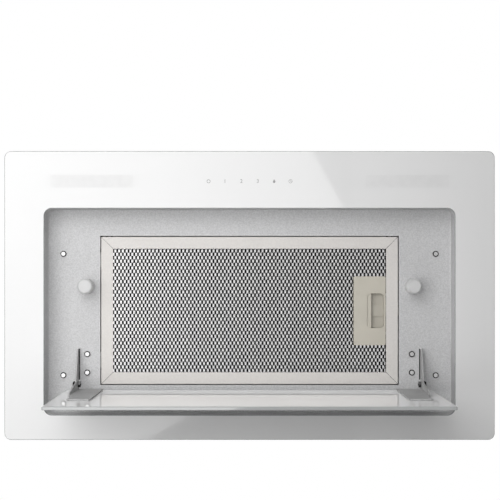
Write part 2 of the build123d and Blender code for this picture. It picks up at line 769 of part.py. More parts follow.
leaf_top_z = pivot_z + leaf_top_drop
leaf_ear_tip_z = pivot_z - leaf_ear_drop
leaf_tip_z = pivot_z - leaf_tip_drop
with BuildPart() as hinge_leaf_right:
    with BuildSketch(Plane.XZ.offset(-leaf_outer_y)):
        with BuildLine():
            Polyline((leaf_inner_x, leaf_top_z), (leaf_ear_x, leaf_top_z),
                     (leaf_ear_x, leaf_ear_tip_z - leaf_ear_tail),
                     (leaf_narrow_x, leaf_ear_tip_z - 2 * leaf_ear_tail),
                     (leaf_narrow_x, leaf_tip_z), (leaf_inner_x, leaf_tip_z), close=True)
        make_face()
    extrude(amount=hinge_sheet)
    fillet(hinge_leaf_right.edges().filter_by(Axis.Y).group_by(Axis.Z)[0], leaf_corner_radius)
    with BuildSketch(Plane.YZ.offset(leaf_ear_x - hinge_sheet)):
        with Locations((pivot_y, pivot_z)):
            Circle(leaf_end_radius)
        with BuildLine():
            Polyline((leaf_outer_y, leaf_top_z), (leaf_outer_y, leaf_ear_tip_z - leaf_ear_tail),
                     (leaf_outer_y - leaf_ear_tail, leaf_ear_tip_z), close=True)
        make_hull()
    extrude(amount=hinge_sheet)
    with BuildSketch(Plane.YZ.offset(leaf_ear_x - hinge_sheet)):
        with Locations((pivot_y, pivot_z)):
            Circle(pivot_pin_radius + pivot_hole_clearance)
    extrude(amount=hinge_sheet, mode=Mode.SUBTRACT)
hinge_leaf_left = mirrored(hinge_leaf_right)

nut_outer_x = leaf_ear_x - hinge_sheet - hinge_play
pin_end_x = nut_outer_x - pivot_nut_height - pivot_pin_overrun
pivot_screw = pan_screw(pivot_head_radius, pivot_head_height, pivot_pin_radius, ear_outer_x - pin_end_x)
with BuildPart() as pivot_screws:
    with Locations(Location((ear_outer_x, pivot_y, pivot_z), (0, -90, 0)),
                   Location((-ear_outer_x, pivot_y, pivot_z), (0, 90, 0))):
        add(pivot_screw)
pivot_nut = hex_nut(pivot_nut_flats, pivot_nut_height, pivot_pin_radius + pivot_hole_clearance)
with BuildPart() as pivot_nuts:
    with Locations(Location((nut_outer_x, pivot_y, pivot_z), (0, -90, 0)),
                   Location((-nut_outer_x, pivot_y, pivot_z), (0, 90, 0))):
        add(pivot_nut)

# --- Suction panel, hanging open at a right angle -------------------------------------
with BuildPart() as panel_glass:
    with BuildSketch(Plane.XZ.offset(-panel_outer_y)):
        with Locations((0, panel_top_z - panel_depth / 2)):
            RectangleRounded(panel_width, panel_depth, panel_corner_radius)
    extrude(amount=panel_thickness)
    chamfer(panel_glass.faces().sort_by(Axis.Y)[0].edges(), panel_chamfer)
    chamfer(panel_glass.faces().sort_by(Axis.Y)[-1].edges(), panel_chamfer / 2)

bond_left_x = leaf_inner_x + bond_inset
bond_right_x = leaf_narrow_x - bond_inset
bond_top_z = leaf_top_z - bond_inset
bond_bottom_z = leaf_tip_z + leaf_corner_radius
with BuildPart() as leaf_bond_pads:
    with BuildSketch(Plane.XZ.offset(-panel_inner_y)):
        for side in (-1, 1):
            with Locations((side * (bond_left_x + bond_right_x) / 2, (bond_top_z + bond_bottom_z) / 2)):
                Rectangle(bond_right_x - bond_left_x, bond_top_z - bond_bottom_z)
    extrude(amount=bond_thickness)

# --- Magnet posts: they hold the leaves, and so the panel, when it is shut ------------
with BuildPart() as catch_posts:
    with BuildSketch(Plane.XY.offset(post_tip_z)):
        with Locations(*post_places):
            Circle(post_radius)
    extrude(amount=floor_z - post_tip_z)
    chamfer(catch_posts.edges().group_by(Axis.Z)[0], post_bevel)
    with BuildSketch(Plane.XY.offset(post_tip_z)):
        with Locations(*post_places):
            Circle(magnet_radius + magnet_clearance)
    extrude(amount=magnet_depth, mode=Mode.SUBTRACT)
    with BuildSketch(Plane.XY.offset(floor_z)):
        with Locations(*post_places):
            Circle(post_screw_radius)
    extrude(amount=-post_screw_length, mode=Mode.SUBTRACT)

with BuildPart() as catch_magnets:
    with BuildSketch(Plane.XY.offset(post_tip_z + post_strike_gap)):
        with Locations(*post_places):
            Circle(magnet_radius)
    extrude(amount=magnet_depth - post_strike_gap)

post_screw = pan_screw(pan_head_radius, pan_head_height, post_screw_radius, post_screw_length)
with BuildPart() as post_screws:
    with Locations(*[Location((x, y, 0), (180, 0, 0)) for x, y in post_places]):
        add(post_screw)

# --- Blower casing: a folded shell, two side plates, nuts and screws ------------------
side_screw_x = casing_inner_x - side_flange / 2
side_screw_places = [(x, z) for x in (-side_screw_x, side_screw_x) for z in side_screw_heights]
with BuildPart() as body_shell:
    with BuildSketch(Plane.XY):
        with Locations((0, casing_centre_y)):
            Rectangle(2 * casing_inner_x, casing_depth)
    extrude(amount=casing_height)
    with BuildSketch(Plane.XY):
        with Locations((0, casing_centre_y)):
            Rectangle(2 * casing_inner_x, casing_depth - 2 * casing_sheet)
    extrude(amount=casing_ceiling_z, mode=Mode.SUBTRACT)
    with BuildSketch(Plane.XY):
        with Locations((0, casing_front_y - casing_flange / 2), (0, casing_rear_y + casing_flange / 2)):
            Rectangle(2 * casing_inner_x, casing_flange)
        with Locations(*stud_places):
            Circle(stud_radius + screw_clearance, mode=Mode.SUBTRACT)
    extrude(amount=casing_sheet)
    with BuildSketch(Plane.XY.offset(casing_ceiling_z)):
        with Locations((0, casing_centre_y)):
            Circle(collar_bore_radius)
            with PolarLocations(collar_screw_circle_radius, 4, start_angle=45):
                Circle(tapping_screw_radius + screw_clearance)
        with Locations((gland_x, gland_y)):
            Circle(gland_body_radius + screw_clearance)
    extrude(amount=casing_sheet, mode=Mode.SUBTRACT)
    with BuildSketch(Plane.XZ.offset(-casing_rear_y)):
        with Locations(*side_screw_places):
            Circle(tapping_screw_radius + screw_clearance)
    extrude(amount=casing_depth, mode=Mode.SUBTRACT)

with BuildPart() as body_side_right:
    with BuildSketch(Plane.YZ.offset(casing_inner_x)):
        with Locations((casing_centre_y, casing_height / 2)):
            Rectangle(casing_depth, casing_height)
    extrude(amount=casing_sheet)
    with BuildSketch(Plane.YZ.offset(casing_inner_x)):
        with Locations((casing_centre_y, casing_height / 2)):
            Rectangle(casing_depth - 2 * casing_sheet, casing_height - 2 * casing_sheet)
        with Locations((casing_centre_y, casing_height / 2 - 2 * casing_sheet)):
            Rectangle(casing_depth - 4 * casing_sheet, casing_height, mode=Mode.SUBTRACT)
    extrude(amount=-side_flange)
    with BuildSketch(Plane.XY):
        for tab_front, tab_rear in side_tabs:
            with Locations((casing_width / 2 + side_tab_width / 2, (tab_front + tab_rear) / 2)):
                Rectangle(side_tab_width, tab_rear - tab_front)
    extrude(amount=casing_sheet)
    with BuildSketch(Plane.XZ.offset(-casing_rear_y)):
        with Locations(*side_screw_places):
            Circle(tapping_screw_radius + screw_clearance)
    extrude(amount=casing_depth, mode=Mode.SUBTRACT)
body_side_left = mirrored(body_side_right)

flange_nut = hex_nut(nut_flats, nut_height, stud_radius + pivot_hole_clearance)
with BuildPart() as flange_nuts:
    with Locations(*[(x, y, casing_sheet) for x, y in stud_places]):
        add(flange_nut)

tapping_screw = pan_screw(tapping_head_radius, tapping_head_height, tapping_screw_radius,
                          tapping_screw_length)
collar_screw_z = collar_base_z + collar_flange_thickness
with BuildPart() as casing_screws:
    with Locations((0, casing_centre_y, collar_screw_z)):
        with PolarLocations(collar_screw_circle_radius, 4, start_angle=45):
            add(tapping_screw, rotation=(180, 0, 0))
    with Locations(*[Location((x, casing_front_y, z), (-90, 0, 0)) for x, z in side_screw_places]):
        add(tapping_screw)
    with Locations(*[Location((x, casing_rear_y, z), (90, 0, 0)) for x, z in side_screw_places]):
        add(tapping_screw)
    for angle in range(3):
        mount_angle = radians(mount_start_angle + 120 * angle)
        mount_y = fan_y + bracket_arm_length * cos(mount_angle)
        mount_z = fan_z + bracket_arm_length * sin(mount_angle)
        with Locations(Location((bracket_face_x, mount_y, mount_z), (0, -90, 0))):
            add(tapping_screw)

# --- Duct collar with two gravity-shut half-round flaps on one pin --------------------
ledge_top_z = flap_pin_z - flap_sheet / 2 - flap_rest_gap
boss_start_y = casing_centre_y - collar_radius + collar_wall / 2
boss_end_y = casing_centre_y + collar_radius - collar_wall / 2
pin_half_length = collar_bore_radius - flap_rest_gap
with BuildPart() as duct_collar:
    with BuildSketch(Plane.XY.offset(collar_base_z)):
        with Locations((0, casing_centre_y)):
            Circle(collar_flange_radius)
            Circle(collar_bore_radius, mode=Mode.SUBTRACT)
            with PolarLocations(collar_screw_circle_radius, 4, start_angle=45):
                Circle(tapping_screw_radius + screw_clearance, mode=Mode.SUBTRACT)
    extrude(amount=collar_flange_thickness)
    with BuildSketch(Plane.XY.offset(collar_base_z)):
        with Locations((0, casing_centre_y)):
            Circle(collar_radius)
            Circle(collar_bore_radius, mode=Mode.SUBTRACT)
    extrude(amount=collar_height)
    with BuildSketch(Plane.XY.offset(ledge_top_z)):
        with Locations((0, casing_centre_y)):
            Circle(collar_radius - collar_wall / 2)
            Circle(collar_bore_radius - flap_ledge_width, mode=Mode.SUBTRACT)
    extrude(amount=-flap_ledge_thickness)
    with BuildSketch(Plane.XZ.offset(-boss_start_y)):
        with Locations((0, flap_pin_z)):
            Circle(pin_boss_radius)
    extrude(amount=-pin_boss_length)
    with BuildSketch(Plane.XZ.offset(-boss_end_y)):
        with Locations((0, flap_pin_z)):
            Circle(pin_boss_radius)
    extrude(amount=pin_boss_length)
    with BuildSketch(Plane.XZ.offset(-casing_centre_y)):
        with Locations((0, flap_pin_z)):
            Circle(flap_pin_radius + flap_running_clearance)
    extrude(amount=collar_bore_radius, both=True, mode=Mode.SUBTRACT)

with BuildPart() as flap_pin:
    with BuildSketch(Plane.XZ.offset(-casing_centre_y)):
        with Locations((0, flap_pin_z)):
            Circle(flap_pin_radius)
    extrude(amount=pin_half_length, both=True)

barrel_radius = flap_pin_radius + flap_running_clearance + flap_barrel_wall
flap_inner_x = barrel_radius + flap_barrel_gap
flap_radius = collar_bore_radius - flap_edge_gap
flap_half_length = collar_radius - collar_wall / 2 - pin_boss_length - flap_barrel_gap
barrel_pitch = 2 * flap_half_length / flap_barrel_count


def make_flap(side, first_barrel):
    """A half-round flap whose barrels take every other place along the pin."""
    with BuildPart() as flap:
        with BuildSketch(Plane.XY.offset(flap_pin_z - flap_sheet / 2)):
            with Locations((0, casing_centre_y)):
                Circle(flap_radius)
            with Locations((side * (flap_radius + flap_inner_x), casing_centre_y)):
                Rectangle(2 * flap_radius, 2 * flap_radius, mode=Mode.INTERSECT)
            with Locations((side * flap_inner_x, casing_centre_y + flap_radius),
                           (side * flap_inner_x, casing_centre_y - flap_radius)):
                Rectangle(4 * pin_boss_radius, 2 * (flap_radius - flap_half_length), mode=Mode.SUBTRACT)
        extrude(amount=flap_sheet)
        for barrel in range(first_barrel, flap_barrel_count, 2):
            barrel_y = casing_centre_y - flap_half_length + barrel * barrel_pitch
            with BuildSketch(Plane.XZ.offset(-barrel_y - flap_barrel_gap / 2)):
                with Locations((0, flap_pin_z)):
                    Circle(barrel_radius)
                with Locations((side * (flap_inner_x + flap_sheet) / 2, flap_pin_z)):
                    Rectangle(flap_inner_x + flap_sheet, flap_sheet)
                with Locations((0, flap_pin_z)):
                    Circle(flap_pin_radius + flap_running_clearance, mode=Mode.SUBTRACT)
            extrude(amount=-(barrel_pitch - flap_barrel_gap))
    return flap


flap_left = make_flap(-1, 0)
flap_right = make_flap(1, 1)

# --- Blower: a double-inlet scroll round a drum of forward-curved blades --------------
scroll_top_z = casing_ceiling_z
start_offset = scroll_step / 2
centre_1 = (fan_y + start_offset, fan_z - start_offset)
centre_2 = (fan_y - start_offset, fan_z - start_offset)
centre_3 = (fan_y - start_offset, fan_z + start_offset)


tongue_y = centre_1[0] + scroll_start_radius * cos(radians(scroll_start_angle))
throat_y = centre_3[0] - scroll_start_radius - 2 * scroll_step


def scroll_outline():
    """The scroll's inside outline in the YZ plane: three growing arcs and a straight outlet."""
    with BuildLine() as outline:
        arc_1 = CenterArc(centre_1, scroll_start_radius, 0, scroll_start_angle)
        CenterArc(centre_2, scroll_start_radius + scroll_step, -90, 90)
        arc_3 = CenterArc(centre_3, scroll_start_radius + 2 * scroll_step, 180, 90)
        tongue = arc_1 @ 1
        throat = arc_3 @ 0
        Polyline((tongue.X, tongue.Y), (tongue.X, scroll_top_z), (throat.X, scroll_top_z),
                 (throat.X, throat.Y))
    return outline


with BuildPart() as scroll_wrap:
    with BuildSketch(Plane.YZ.offset(-scroll_half_width)):
        add(scroll_outline().line)
        make_face()
        offset(amount=scroll_sheet, kind=Kind.INTERSECTION)
        add(make_face(scroll_outline().edges(), mode=Mode.PRIVATE), mode=Mode.SUBTRACT)
    extrude(amount=2 * scroll_half_width)
    with BuildSketch(Plane.XY.offset(scroll_top_z)):
        with Locations((0, casing_centre_y)):
            Rectangle(4 * scroll_half_width, casing_depth)
    extrude(amount=2 * scroll_sheet, mode=Mode.SUBTRACT)

with BuildPart() as scroll_side_right:
    with BuildSketch(Plane.YZ.offset(scroll_half_width)):
        add(scroll_outline().line)
        make_face()
        offset(amount=scroll_sheet, kind=Kind.INTERSECTION)
        with Locations((casing_centre_y, scroll_top_z + casing_height)):
            Rectangle(2 * casing_depth, 2 * casing_height, mode=Mode.SUBTRACT)
        with Locations((fan_y, fan_z)):
            Circle(inlet_radius, mode=Mode.SUBTRACT)
    extrude(amount=scroll_sheet)
    with BuildSketch(Plane.YZ.offset(scroll_half_width + scroll_sheet)):
        with Locations((fan_y, fan_z)):
            Circle(inlet_radius + inlet_lip_wall)
            Circle(inlet_radius, mode=Mode.SUBTRACT)
    extrude(amount=inlet_lip)
    fillet(scroll_side_right.faces().sort_by(Axis.X)[-1].inner_wires().edges(), inlet_lip_round)
    with BuildSketch(Plane.XY.offset(scroll_top_z)):
        with Locations((scroll_half_width + scroll_sheet + scroll_flange / 2, (tongue_y + throat_y) / 2)):
            Rectangle(scroll_flange, tongue_y - throat_y)
    extrude(amount=-scroll_sheet)
    with BuildSketch(Plane.YZ.offset(scroll_half_width)):
        with Locations((fan_y, fan_z)):
            with PolarLocations(bracket_arm_length, 3, start_angle=mount_start_angle):
                Circle(tapping_screw_radius + screw_clearance)
    extrude(amount=scroll_sheet, mode=Mode.SUBTRACT)
scroll_side_left = mirrored(scroll_side_right)

# Centre disc, hub, blades and end rings turn together on the motor's shaft.
blade_outer_radius = impeller_radius - blade_sheet
blade_mid_radius = (blade_inner_radius + blade_outer_radius) / 2
with BuildPart() as impeller:
    with BuildSketch(Plane.YZ.offset(-impeller_half_width)):
        with BuildLine(mode=Mode.PRIVATE) as blade_line:
            ThreePointArc((blade_inner_radius, 0), (blade_mid_radius, blade_sweep / 2 - blade_bow),
                          (blade_outer_radius, blade_sweep))
        with Locations((fan_y, fan_z)):
            with PolarLocations(0, blade_count):
                SlotArc(blade_line.line.edge(), blade_sheet)
    extrude(amount=2 * impeller_half_width)
    for ring_x in (-impeller_half_width, impeller_half_width - impeller_ring_width):
        with BuildSketch(Plane.YZ.offset(ring_x)):
            with Locations((fan_y, fan_z)):
                Circle(impeller_radius)
                Circle(blade_mid_radius, mode=Mode.SUBTRACT)
        extrude(amount=impeller_ring_width)
    with BuildSketch(Plane.YZ.offset(-impeller_disc_sheet / 2)):
        with Locations((fan_y, fan_z)):
            Circle(blade_mid_radius)
    extrude(amount=impeller_disc_sheet)
    with BuildSketch(Plane.YZ.offset(-hub_length / 2)):
        with Locations((fan_y, fan_z)):
            Circle(hub_radius)
    extrude(amount=hub_length)
    with BuildSketch(Plane.YZ.offset(-hub_length / 2)):
        with Locations((fan_y, fan_z)):
            Circle(shaft_radius + shaft_bore_clearance)
    extrude(amount=hub_length, mode=Mode.SUBTRACT)

# --- Motor in the right-hand inlet, on a three-arm bracket with rubber mounts ---------


def turned(start_x, length, outer_radius, bore_radius=0.0):
    """A cylinder or a ring round the fan's axis."""
    with BuildPart() as ring:
        with BuildSketch(Plane.YZ.offset(start_x)):
            with Locations((fan_y, fan_z)):
                Circle(outer_radius)
                if bore_radius:
                    Circle(bore_radius, mode=Mode.SUBTRACT)
        extrude(amount=length)
    return ring.part


motor_length = bracket_x - motor_start_x
seat_radius = bearing_radius + shaft_bore_clearance
front_bearing_x = motor_start_x + motor_wall
rear_bearing_x = bracket_x - motor_wall - bearing_width
stator_start_x = front_bearing_x + bearing_width + stator_clearance
stator_length = rear_bearing_x - stator_clearance - stator_start_x
with BuildPart() as motor_housing:
    add(turned(motor_start_x, motor_length, motor_radius))
    add(turned(motor_start_x + motor_wall, motor_length - 2 * motor_wall, motor_radius - motor_wall),
        mode=Mode.SUBTRACT)
    add(turned(front_bearing_x, bearing_width, seat_radius + motor_wall))
    add(turned(rear_bearing_x, bearing_width, seat_radius + motor_wall))
    add(turned(motor_start_x, motor_length, bearing_radius - motor_wall), mode=Mode.SUBTRACT)
    add(turned(front_bearing_x, bearing_width, seat_radius), mode=Mode.SUBTRACT)
    add(turned(rear_bearing_x, bearing_width, seat_radius), mode=Mode.SUBTRACT)

with BuildPart() as motor_stator:
    add(turned(stator_start_x, stator_length, motor_radius - motor_wall - stator_gap,
               rotor_radius + rotor_air_gap))

with BuildPart() as motor_rotor:
    add(turned(-hub_length / 2, rear_bearing_x + bearing_width + hub_length / 2, shaft_radius))
    add(turned(stator_start_x, stator_length, rotor_radius))

with BuildPart() as motor_bearings:
    add(turned(front_bearing_x, bearing_width, bearing_radius, shaft_radius + shaft_bore_clearance))
    add(turned(rear_bearing_x, bearing_width, bearing_radius, shaft_radius + shaft_bore_clearance))

with BuildPart() as motor_bracket:
    with BuildSketch(Plane.YZ.offset(bracket_x)):
        with Locations((fan_y, fan_z)):
            Circle(bracket_hub_radius)
            with PolarLocations(bracket_arm_length / 2, 3, start_angle=mount_start_angle):
                Rectangle(bracket_arm_length, bracket_arm_width)
            with PolarLocations(bracket_arm_length, 3, start_angle=mount_start_angle):
                Circle(bracket_foot_radius)
                Circle(tapping_screw_radius + screw_clearance, mode=Mode.SUBTRACT)
    extrude(amount=bracket_sheet)

with BuildPart() as rubber_mounts:
    with BuildSketch(Plane.YZ.offset(scroll_face_x)):
        with Locations((fan_y, fan_z)):
            with PolarLocations(bracket_arm_length, 3, start_angle=mount_start_angle):
                Circle(mount_radius)
                Circle(tapping_screw_radius + screw_clearance, mode=Mode.SUBTRACT)
    extrude(amount=motor_rear_gap)

# --- Electronics hung from the casing's ceiling, and the cable gland ------------------
board_width = box_width - 2 * (box_wall + board_edge_gap)
board_depth = box_depth - 2 * (box_wall + board_edge_gap)
board_z = box_bottom_z + box_wall + board_rise
capacitor_z = board_z + board_thickness + capacitor_radius
capacitor_y = box_centre_y - board_depth / 2 + capacitor_radius + board_edge_gap
with BuildPart() as electronics_box:
    with BuildSketch(Plane.XY.offset(box_bottom_z)):
        with Locations((box_centre_x, box_centre_y)):
            RectangleRounded(box_width, box_depth, 2 * box_wall)
    extrude(amount=box_height)
    with BuildSketch(Plane.XY.offset(box_bottom_z + box_wall)):
        with Locations((box_centre_x, box_centre_y)):
            RectangleRounded(box_width - 2 * box_wall, box_depth - 2 * box_wall, box_wall)
    extrude(amount=box_height, mode=Mode.SUBTRACT)
    with BuildSketch(Plane.XY.offset(box_bottom_z + box_wall)):
        with Locations((box_centre_x, box_centre_y)):
            with GridLocations(board_width - 2 * post_pad, board_depth - 2 * post_pad, 2, 2):
                Circle(post_pad)
    extrude(amount=board_rise)

with BuildPart() as control_board:
    with BuildSketch(Plane.XY.offset(board_z)):
        with Locations((box_centre_x, box_centre_y)):
            Rectangle(board_width, board_depth)
    extrude(amount=board_thickness)
    with BuildSketch(Plane.XY.offset(board_z + board_thickness)):
        with Locations((box_centre_x, box_centre_y + board_depth / 4)):
            with GridLocations(relay_pitch, 1, relay_count, 1):
                Rectangle(relay_width, relay_depth)
    extrude(amount=relay_height)

with BuildPart() as capacitor:
    with BuildSketch(Plane.YZ.offset(box_centre_x - capacitor_length / 2)):
        with Locations((capacitor_y, capacitor_z)):
            Circle(capacitor_radius)
    extrude(amount=capacitor_length)
    chamfer(capacitor.faces().sort_by(Axis.X)[0].edges(), capacitor_chamfer)

with BuildPart() as led_driver:
    with BuildSketch(Plane.XY.offset(casing_ceiling_z)):
        with Locations((driver_centre_x, box_centre_y)):
            RectangleRounded(driver_width, driver_depth, driver_corner_radius)
    extrude(amount=-driver_height)

with BuildPart() as cable_gland:
    with BuildSketch(Plane.XY.offset(casing_ceiling_z - gland_lip)):
        with Locations((gland_x, gland_y)):
            Circle(gland_body_radius)
    extrude(amount=gland_lip + casing_sheet)
    with BuildSketch(Plane.XY.offset(casing_height)):
        with Locations((gland_x, gland_y)):
            Circle(gland_flange_radius)
    extrude(amount=gland_lip)
    with BuildSketch(Plane.XY.offset(casing_height)):
        with Locations((gland_x, gland_y)):
            Circle(gland_bore_radius + gland_wall)
    extrude(amount=gland_height)
    chamfer(cable_gland.faces().sort_by(Axis.Z)[-1].edges(), gland_wall / 2)
    with BuildSketch(Plane.XY.offset(casing_ceiling_z - gland_lip)):
        with Locations((gland_x, gland_y)):
            Circle(gland_bore_radius)
    extrude(amount=2 * gland_height, mode=Mode.SUBTRACT)

pieces = {
    "face_glass": face_glass,
    "face_backing_frame": face_backing_frame,
    "recess_tray": recess_tray,
    "light_diffuser_right": light_diffuser_right,
    "light_diffuser_left": light_diffuser_left,
    "light_housing_right": light_housing_right,
    "light_housing_left": light_housing_left,
    "led_boards": led_boards,
    "touch_board": touch_board,
    "touch_pads": touch_pads,
    "control_housing": control_housing,
    "cabinet_screws": cabinet_screws,
    "hinge_screws": hinge_screws,
    "filter_rail_front": filter_rail_front,
    "filter_rail_rear": filter_rail_rear,
    "filter_rail_left": filter_rail_left,
    "filter_rail_right": filter_rail_right,
    "filter_lugs": filter_lugs,
    "filter_mesh_lower": filter_mesh_lower,
    "filter_core": filter_core,
    "filter_mesh_upper": filter_mesh_upper,
    "filter_handle_plate": filter_handle_plate,
    "filter_latch": filter_latch,
    "latch_spring": latch_spring,
    "hinge_plate_right": hinge_plate_right,
    "hinge_plate_left": hinge_plate_left,
    "slot_seals": slot_seals,
    "hinge_leaf_right": hinge_leaf_right,
    "hinge_leaf_left": hinge_leaf_left,
    "pivot_screws": pivot_screws,
    "pivot_nuts": pivot_nuts,
    "panel_glass": panel_glass,
    "leaf_bond_pads": leaf_bond_pads,
    "catch_posts": catch_posts,
    "catch_magnets": catch_magnets,
    "post_screws": post_screws,
    "body_shell": body_shell,
    "body_side_right": body_side_right,
    "body_side_left": body_side_left,
    "flange_nuts": flange_nuts,
    "casing_screws": casing_screws,
    "duct_collar": duct_collar,
    "flap_pin": flap_pin,
    "flap_left": flap_left,
    "flap_right": flap_right,
    "scroll_wrap": scroll_wrap,
    "scroll_side_right": scroll_side_right,
    "scroll_side_left": scroll_side_left,
    "impeller": impeller,
    "motor_housing": motor_housing,
    "motor_stator": motor_stator,
    "motor_rotor": motor_rotor,
    "motor_bearings": motor_bearings,
    "motor_bracket": motor_bracket,
    "rubber_mounts": rubber_mounts,
    "electronics_box": electronics_box,
    "control_board": control_board,
    "capacitor": capacitor,
    "led_driver": led_driver,
    "cable_gland": cable_gland,
}
os.makedirs("parts", exist_ok=True)
for name, piece in pieces.items():
    piece.part.label = name
    export_step(piece.part, f"parts/{name}.step")
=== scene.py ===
"""Looks of the built-in range hood: finishes for its parts, the grease filter's
expanded mesh and pack, the latch's spring, the printed touch keys, the light windows
and the studio stage.

Lengths in the code are metres in the part's own frame: +X right, -Y front, +Z up.
The hood hangs overhead, so the stage's camera stands below it and looks up.
"""

import bpy
from math import atan2, cos, pi, radians, sin
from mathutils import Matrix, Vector


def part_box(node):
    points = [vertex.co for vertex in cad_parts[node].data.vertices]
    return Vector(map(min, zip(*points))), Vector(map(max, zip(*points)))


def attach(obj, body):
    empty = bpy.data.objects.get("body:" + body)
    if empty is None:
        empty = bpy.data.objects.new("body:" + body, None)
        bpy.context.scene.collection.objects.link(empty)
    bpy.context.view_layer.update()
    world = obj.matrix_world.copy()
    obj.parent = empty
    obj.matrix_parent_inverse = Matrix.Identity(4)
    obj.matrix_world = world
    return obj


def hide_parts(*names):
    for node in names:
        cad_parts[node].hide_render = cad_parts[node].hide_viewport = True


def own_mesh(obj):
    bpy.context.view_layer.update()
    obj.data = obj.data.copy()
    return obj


bl_info = {
    "name": "Range Hood Looks",
    "version": (1, 0, 0),
    "blender": (4, 5, 0),
    "location": "View3D > Sidebar > Range Hood",
    "description": "Finishes, expanded mesh, touch keys, light windows and stage of a range hood",
    "category": "Object",
}

MM = 0.001
# Nearly all of a noise pattern's values lie between these two.
NOISE_LOW, NOISE_HIGH = 0.3, 0.7

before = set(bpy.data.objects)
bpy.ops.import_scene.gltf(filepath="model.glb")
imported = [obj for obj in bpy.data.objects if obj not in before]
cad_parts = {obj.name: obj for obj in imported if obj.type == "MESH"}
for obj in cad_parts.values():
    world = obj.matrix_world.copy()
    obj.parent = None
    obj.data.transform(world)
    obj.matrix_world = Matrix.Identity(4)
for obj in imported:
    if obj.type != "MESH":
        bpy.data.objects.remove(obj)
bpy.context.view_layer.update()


# --- Settings a user would change -----------------------------------------------------
class HoodFinishSettings(bpy.types.PropertyGroup):
    glass_colour: bpy.props.FloatVectorProperty(
        name="Glass", description="Colour of the painted back of the white glass",
        subtype="COLOR", size=3, min=0, max=1, default=(0.80, 0.80, 0.80))
    tray_colour: bpy.props.FloatVectorProperty(
        name="Recess tray", description="Colour of the tray's powder coat",
        subtype="COLOR", size=3, min=0, max=1, default=(0.55, 0.55, 0.555))
    filter_colour: bpy.props.FloatVectorProperty(
        name="Filter frame", description="Colour of the filter's coated rails",
        subtype="COLOR", size=3, min=0, max=1, default=(0.66, 0.635, 0.61))
    handle_colour: bpy.props.FloatVectorProperty(
        name="Handle", description="Colour of the filter's moulded handle and latch",
        subtype="COLOR", size=3, min=0, max=1, default=(0.52, 0.49, 0.42))
    post_colour: bpy.props.FloatVectorProperty(
        name="Catch posts", description="Colour of the magnet posts",
        subtype="COLOR", size=3, min=0, max=1, default=(0.62, 0.62, 0.62))


class HoodFilterSettings(bpy.types.PropertyGroup):
    opening_pitch: bpy.props.FloatProperty(
        name="Opening pitch", description="Distance between openings side by side",
        subtype="DISTANCE", unit="LENGTH", default=4.7 * MM)
    row_pitch: bpy.props.FloatProperty(
        name="Row pitch", description="Distance between an opening and the next one in its column",
        subtype="DISTANCE", unit="LENGTH", default=8.5 * MM)
    strand_width: bpy.props.FloatProperty(
        name="Strand width", description="Width of one strand of the expanded mesh",
        subtype="DISTANCE", unit="LENGTH", default=1.44 * MM)
    shoulder_place: bpy.props.FloatProperty(
        name="Shoulder's place", description="Share of a strand's width where its edge turns up",
        min=0.2, max=0.9, default=0.66)
    shoulder_rise: bpy.props.FloatProperty(
        name="Shoulder's rise", description="Share of a strand's rise reached at its shoulder",
        min=0.0, max=0.9, default=0.42)
    strand_sheet: bpy.props.FloatProperty(
        name="Sheet", description="Thickness of the sheet the mesh is expanded from",
        subtype="DISTANCE", unit="LENGTH", default=0.3 * MM)
    strand_tilt: bpy.props.FloatProperty(
        name="Strand tilt", description="Angle that the lower sheet's strands are turned by",
        subtype="ANGLE", unit="ROTATION", default=radians(30))
    rolled_tilt: bpy.props.FloatProperty(
        name="Rolled tilt", description="Angle left in the upper sheet, which is rolled flat",
        subtype="ANGLE", unit="ROTATION", default=radians(6))
    bond_length: bpy.props.FloatProperty(
        name="Bond length", description="Length over which two strands stay joined",
        subtype="DISTANCE", unit="LENGTH", default=3.2 * MM)


class HoodPrintSettings(bpy.types.PropertyGroup):
    key_pitch: bpy.props.FloatProperty(
        name="Key pitch", description="Distance between the touch keys",
        subtype="DISTANCE", unit="LENGTH", default=20.0 * MM)
    mark_height: bpy.props.FloatProperty(
        name="Mark height", description="Height of the marks printed on the keys",
        subtype="DISTANCE", unit="LENGTH", default=4.6 * MM)
    line_width: bpy.props.FloatProperty(
        name="Line width", description="Width of the printed lines",
        subtype="DISTANCE", unit="LENGTH", default=0.7 * MM)
    ink_thickness: bpy.props.FloatProperty(
        name="Ink", description="How far the print stands proud of the glass",
        subtype="DISTANCE", unit="LENGTH", default=0.03 * MM)
    ink_colour: bpy.props.FloatVectorProperty(
        name="Ink colour", description="Colour of the print",
        subtype="COLOR", size=3, min=0, max=1, default=(0.30, 0.30, 0.30))


class HoodStageSettings(bpy.types.PropertyGroup):
    camera_drop: bpy.props.FloatProperty(
        name="Camera below the seat", description="Camera's distance below the cabinet's board",
        subtype="DISTANCE", unit="LENGTH", default=1.661)
    camera_lens: bpy.props.FloatProperty(
        name="Lens", description="Focal length in millimetres", default=96.05)
    key_radiance: bpy.props.FloatProperty(
        name="Key light", description="Brightness of the softbox at the left", default=2.5)
    front_radiance: bpy.props.FloatProperty(
        name="Front light", description="Brightness of the softbox in front", default=1.18)
    side_radiance: bpy.props.FloatProperty(
        name="Side light", description="Brightness of the softbox at the right", default=0.5)
    fill_strength: bpy.props.FloatProperty(
        name="Fill light", description="Brightness of the room round the hood", default=0.03)
    top_radiance: bpy.props.FloatProperty(
        name="Top light", description="Brightness of the softbox above the casing", default=3.4)
    floor_glow: bpy.props.FloatProperty(
        name="Floor's paleness", description="How much the floor adds to what the camera sees",
        default=0.75)
    floor_drop: bpy.props.FloatProperty(
        name="Floor below the seat", description="Height of the hood over the floor",
        subtype="DISTANCE", unit="LENGTH", default=2.7)


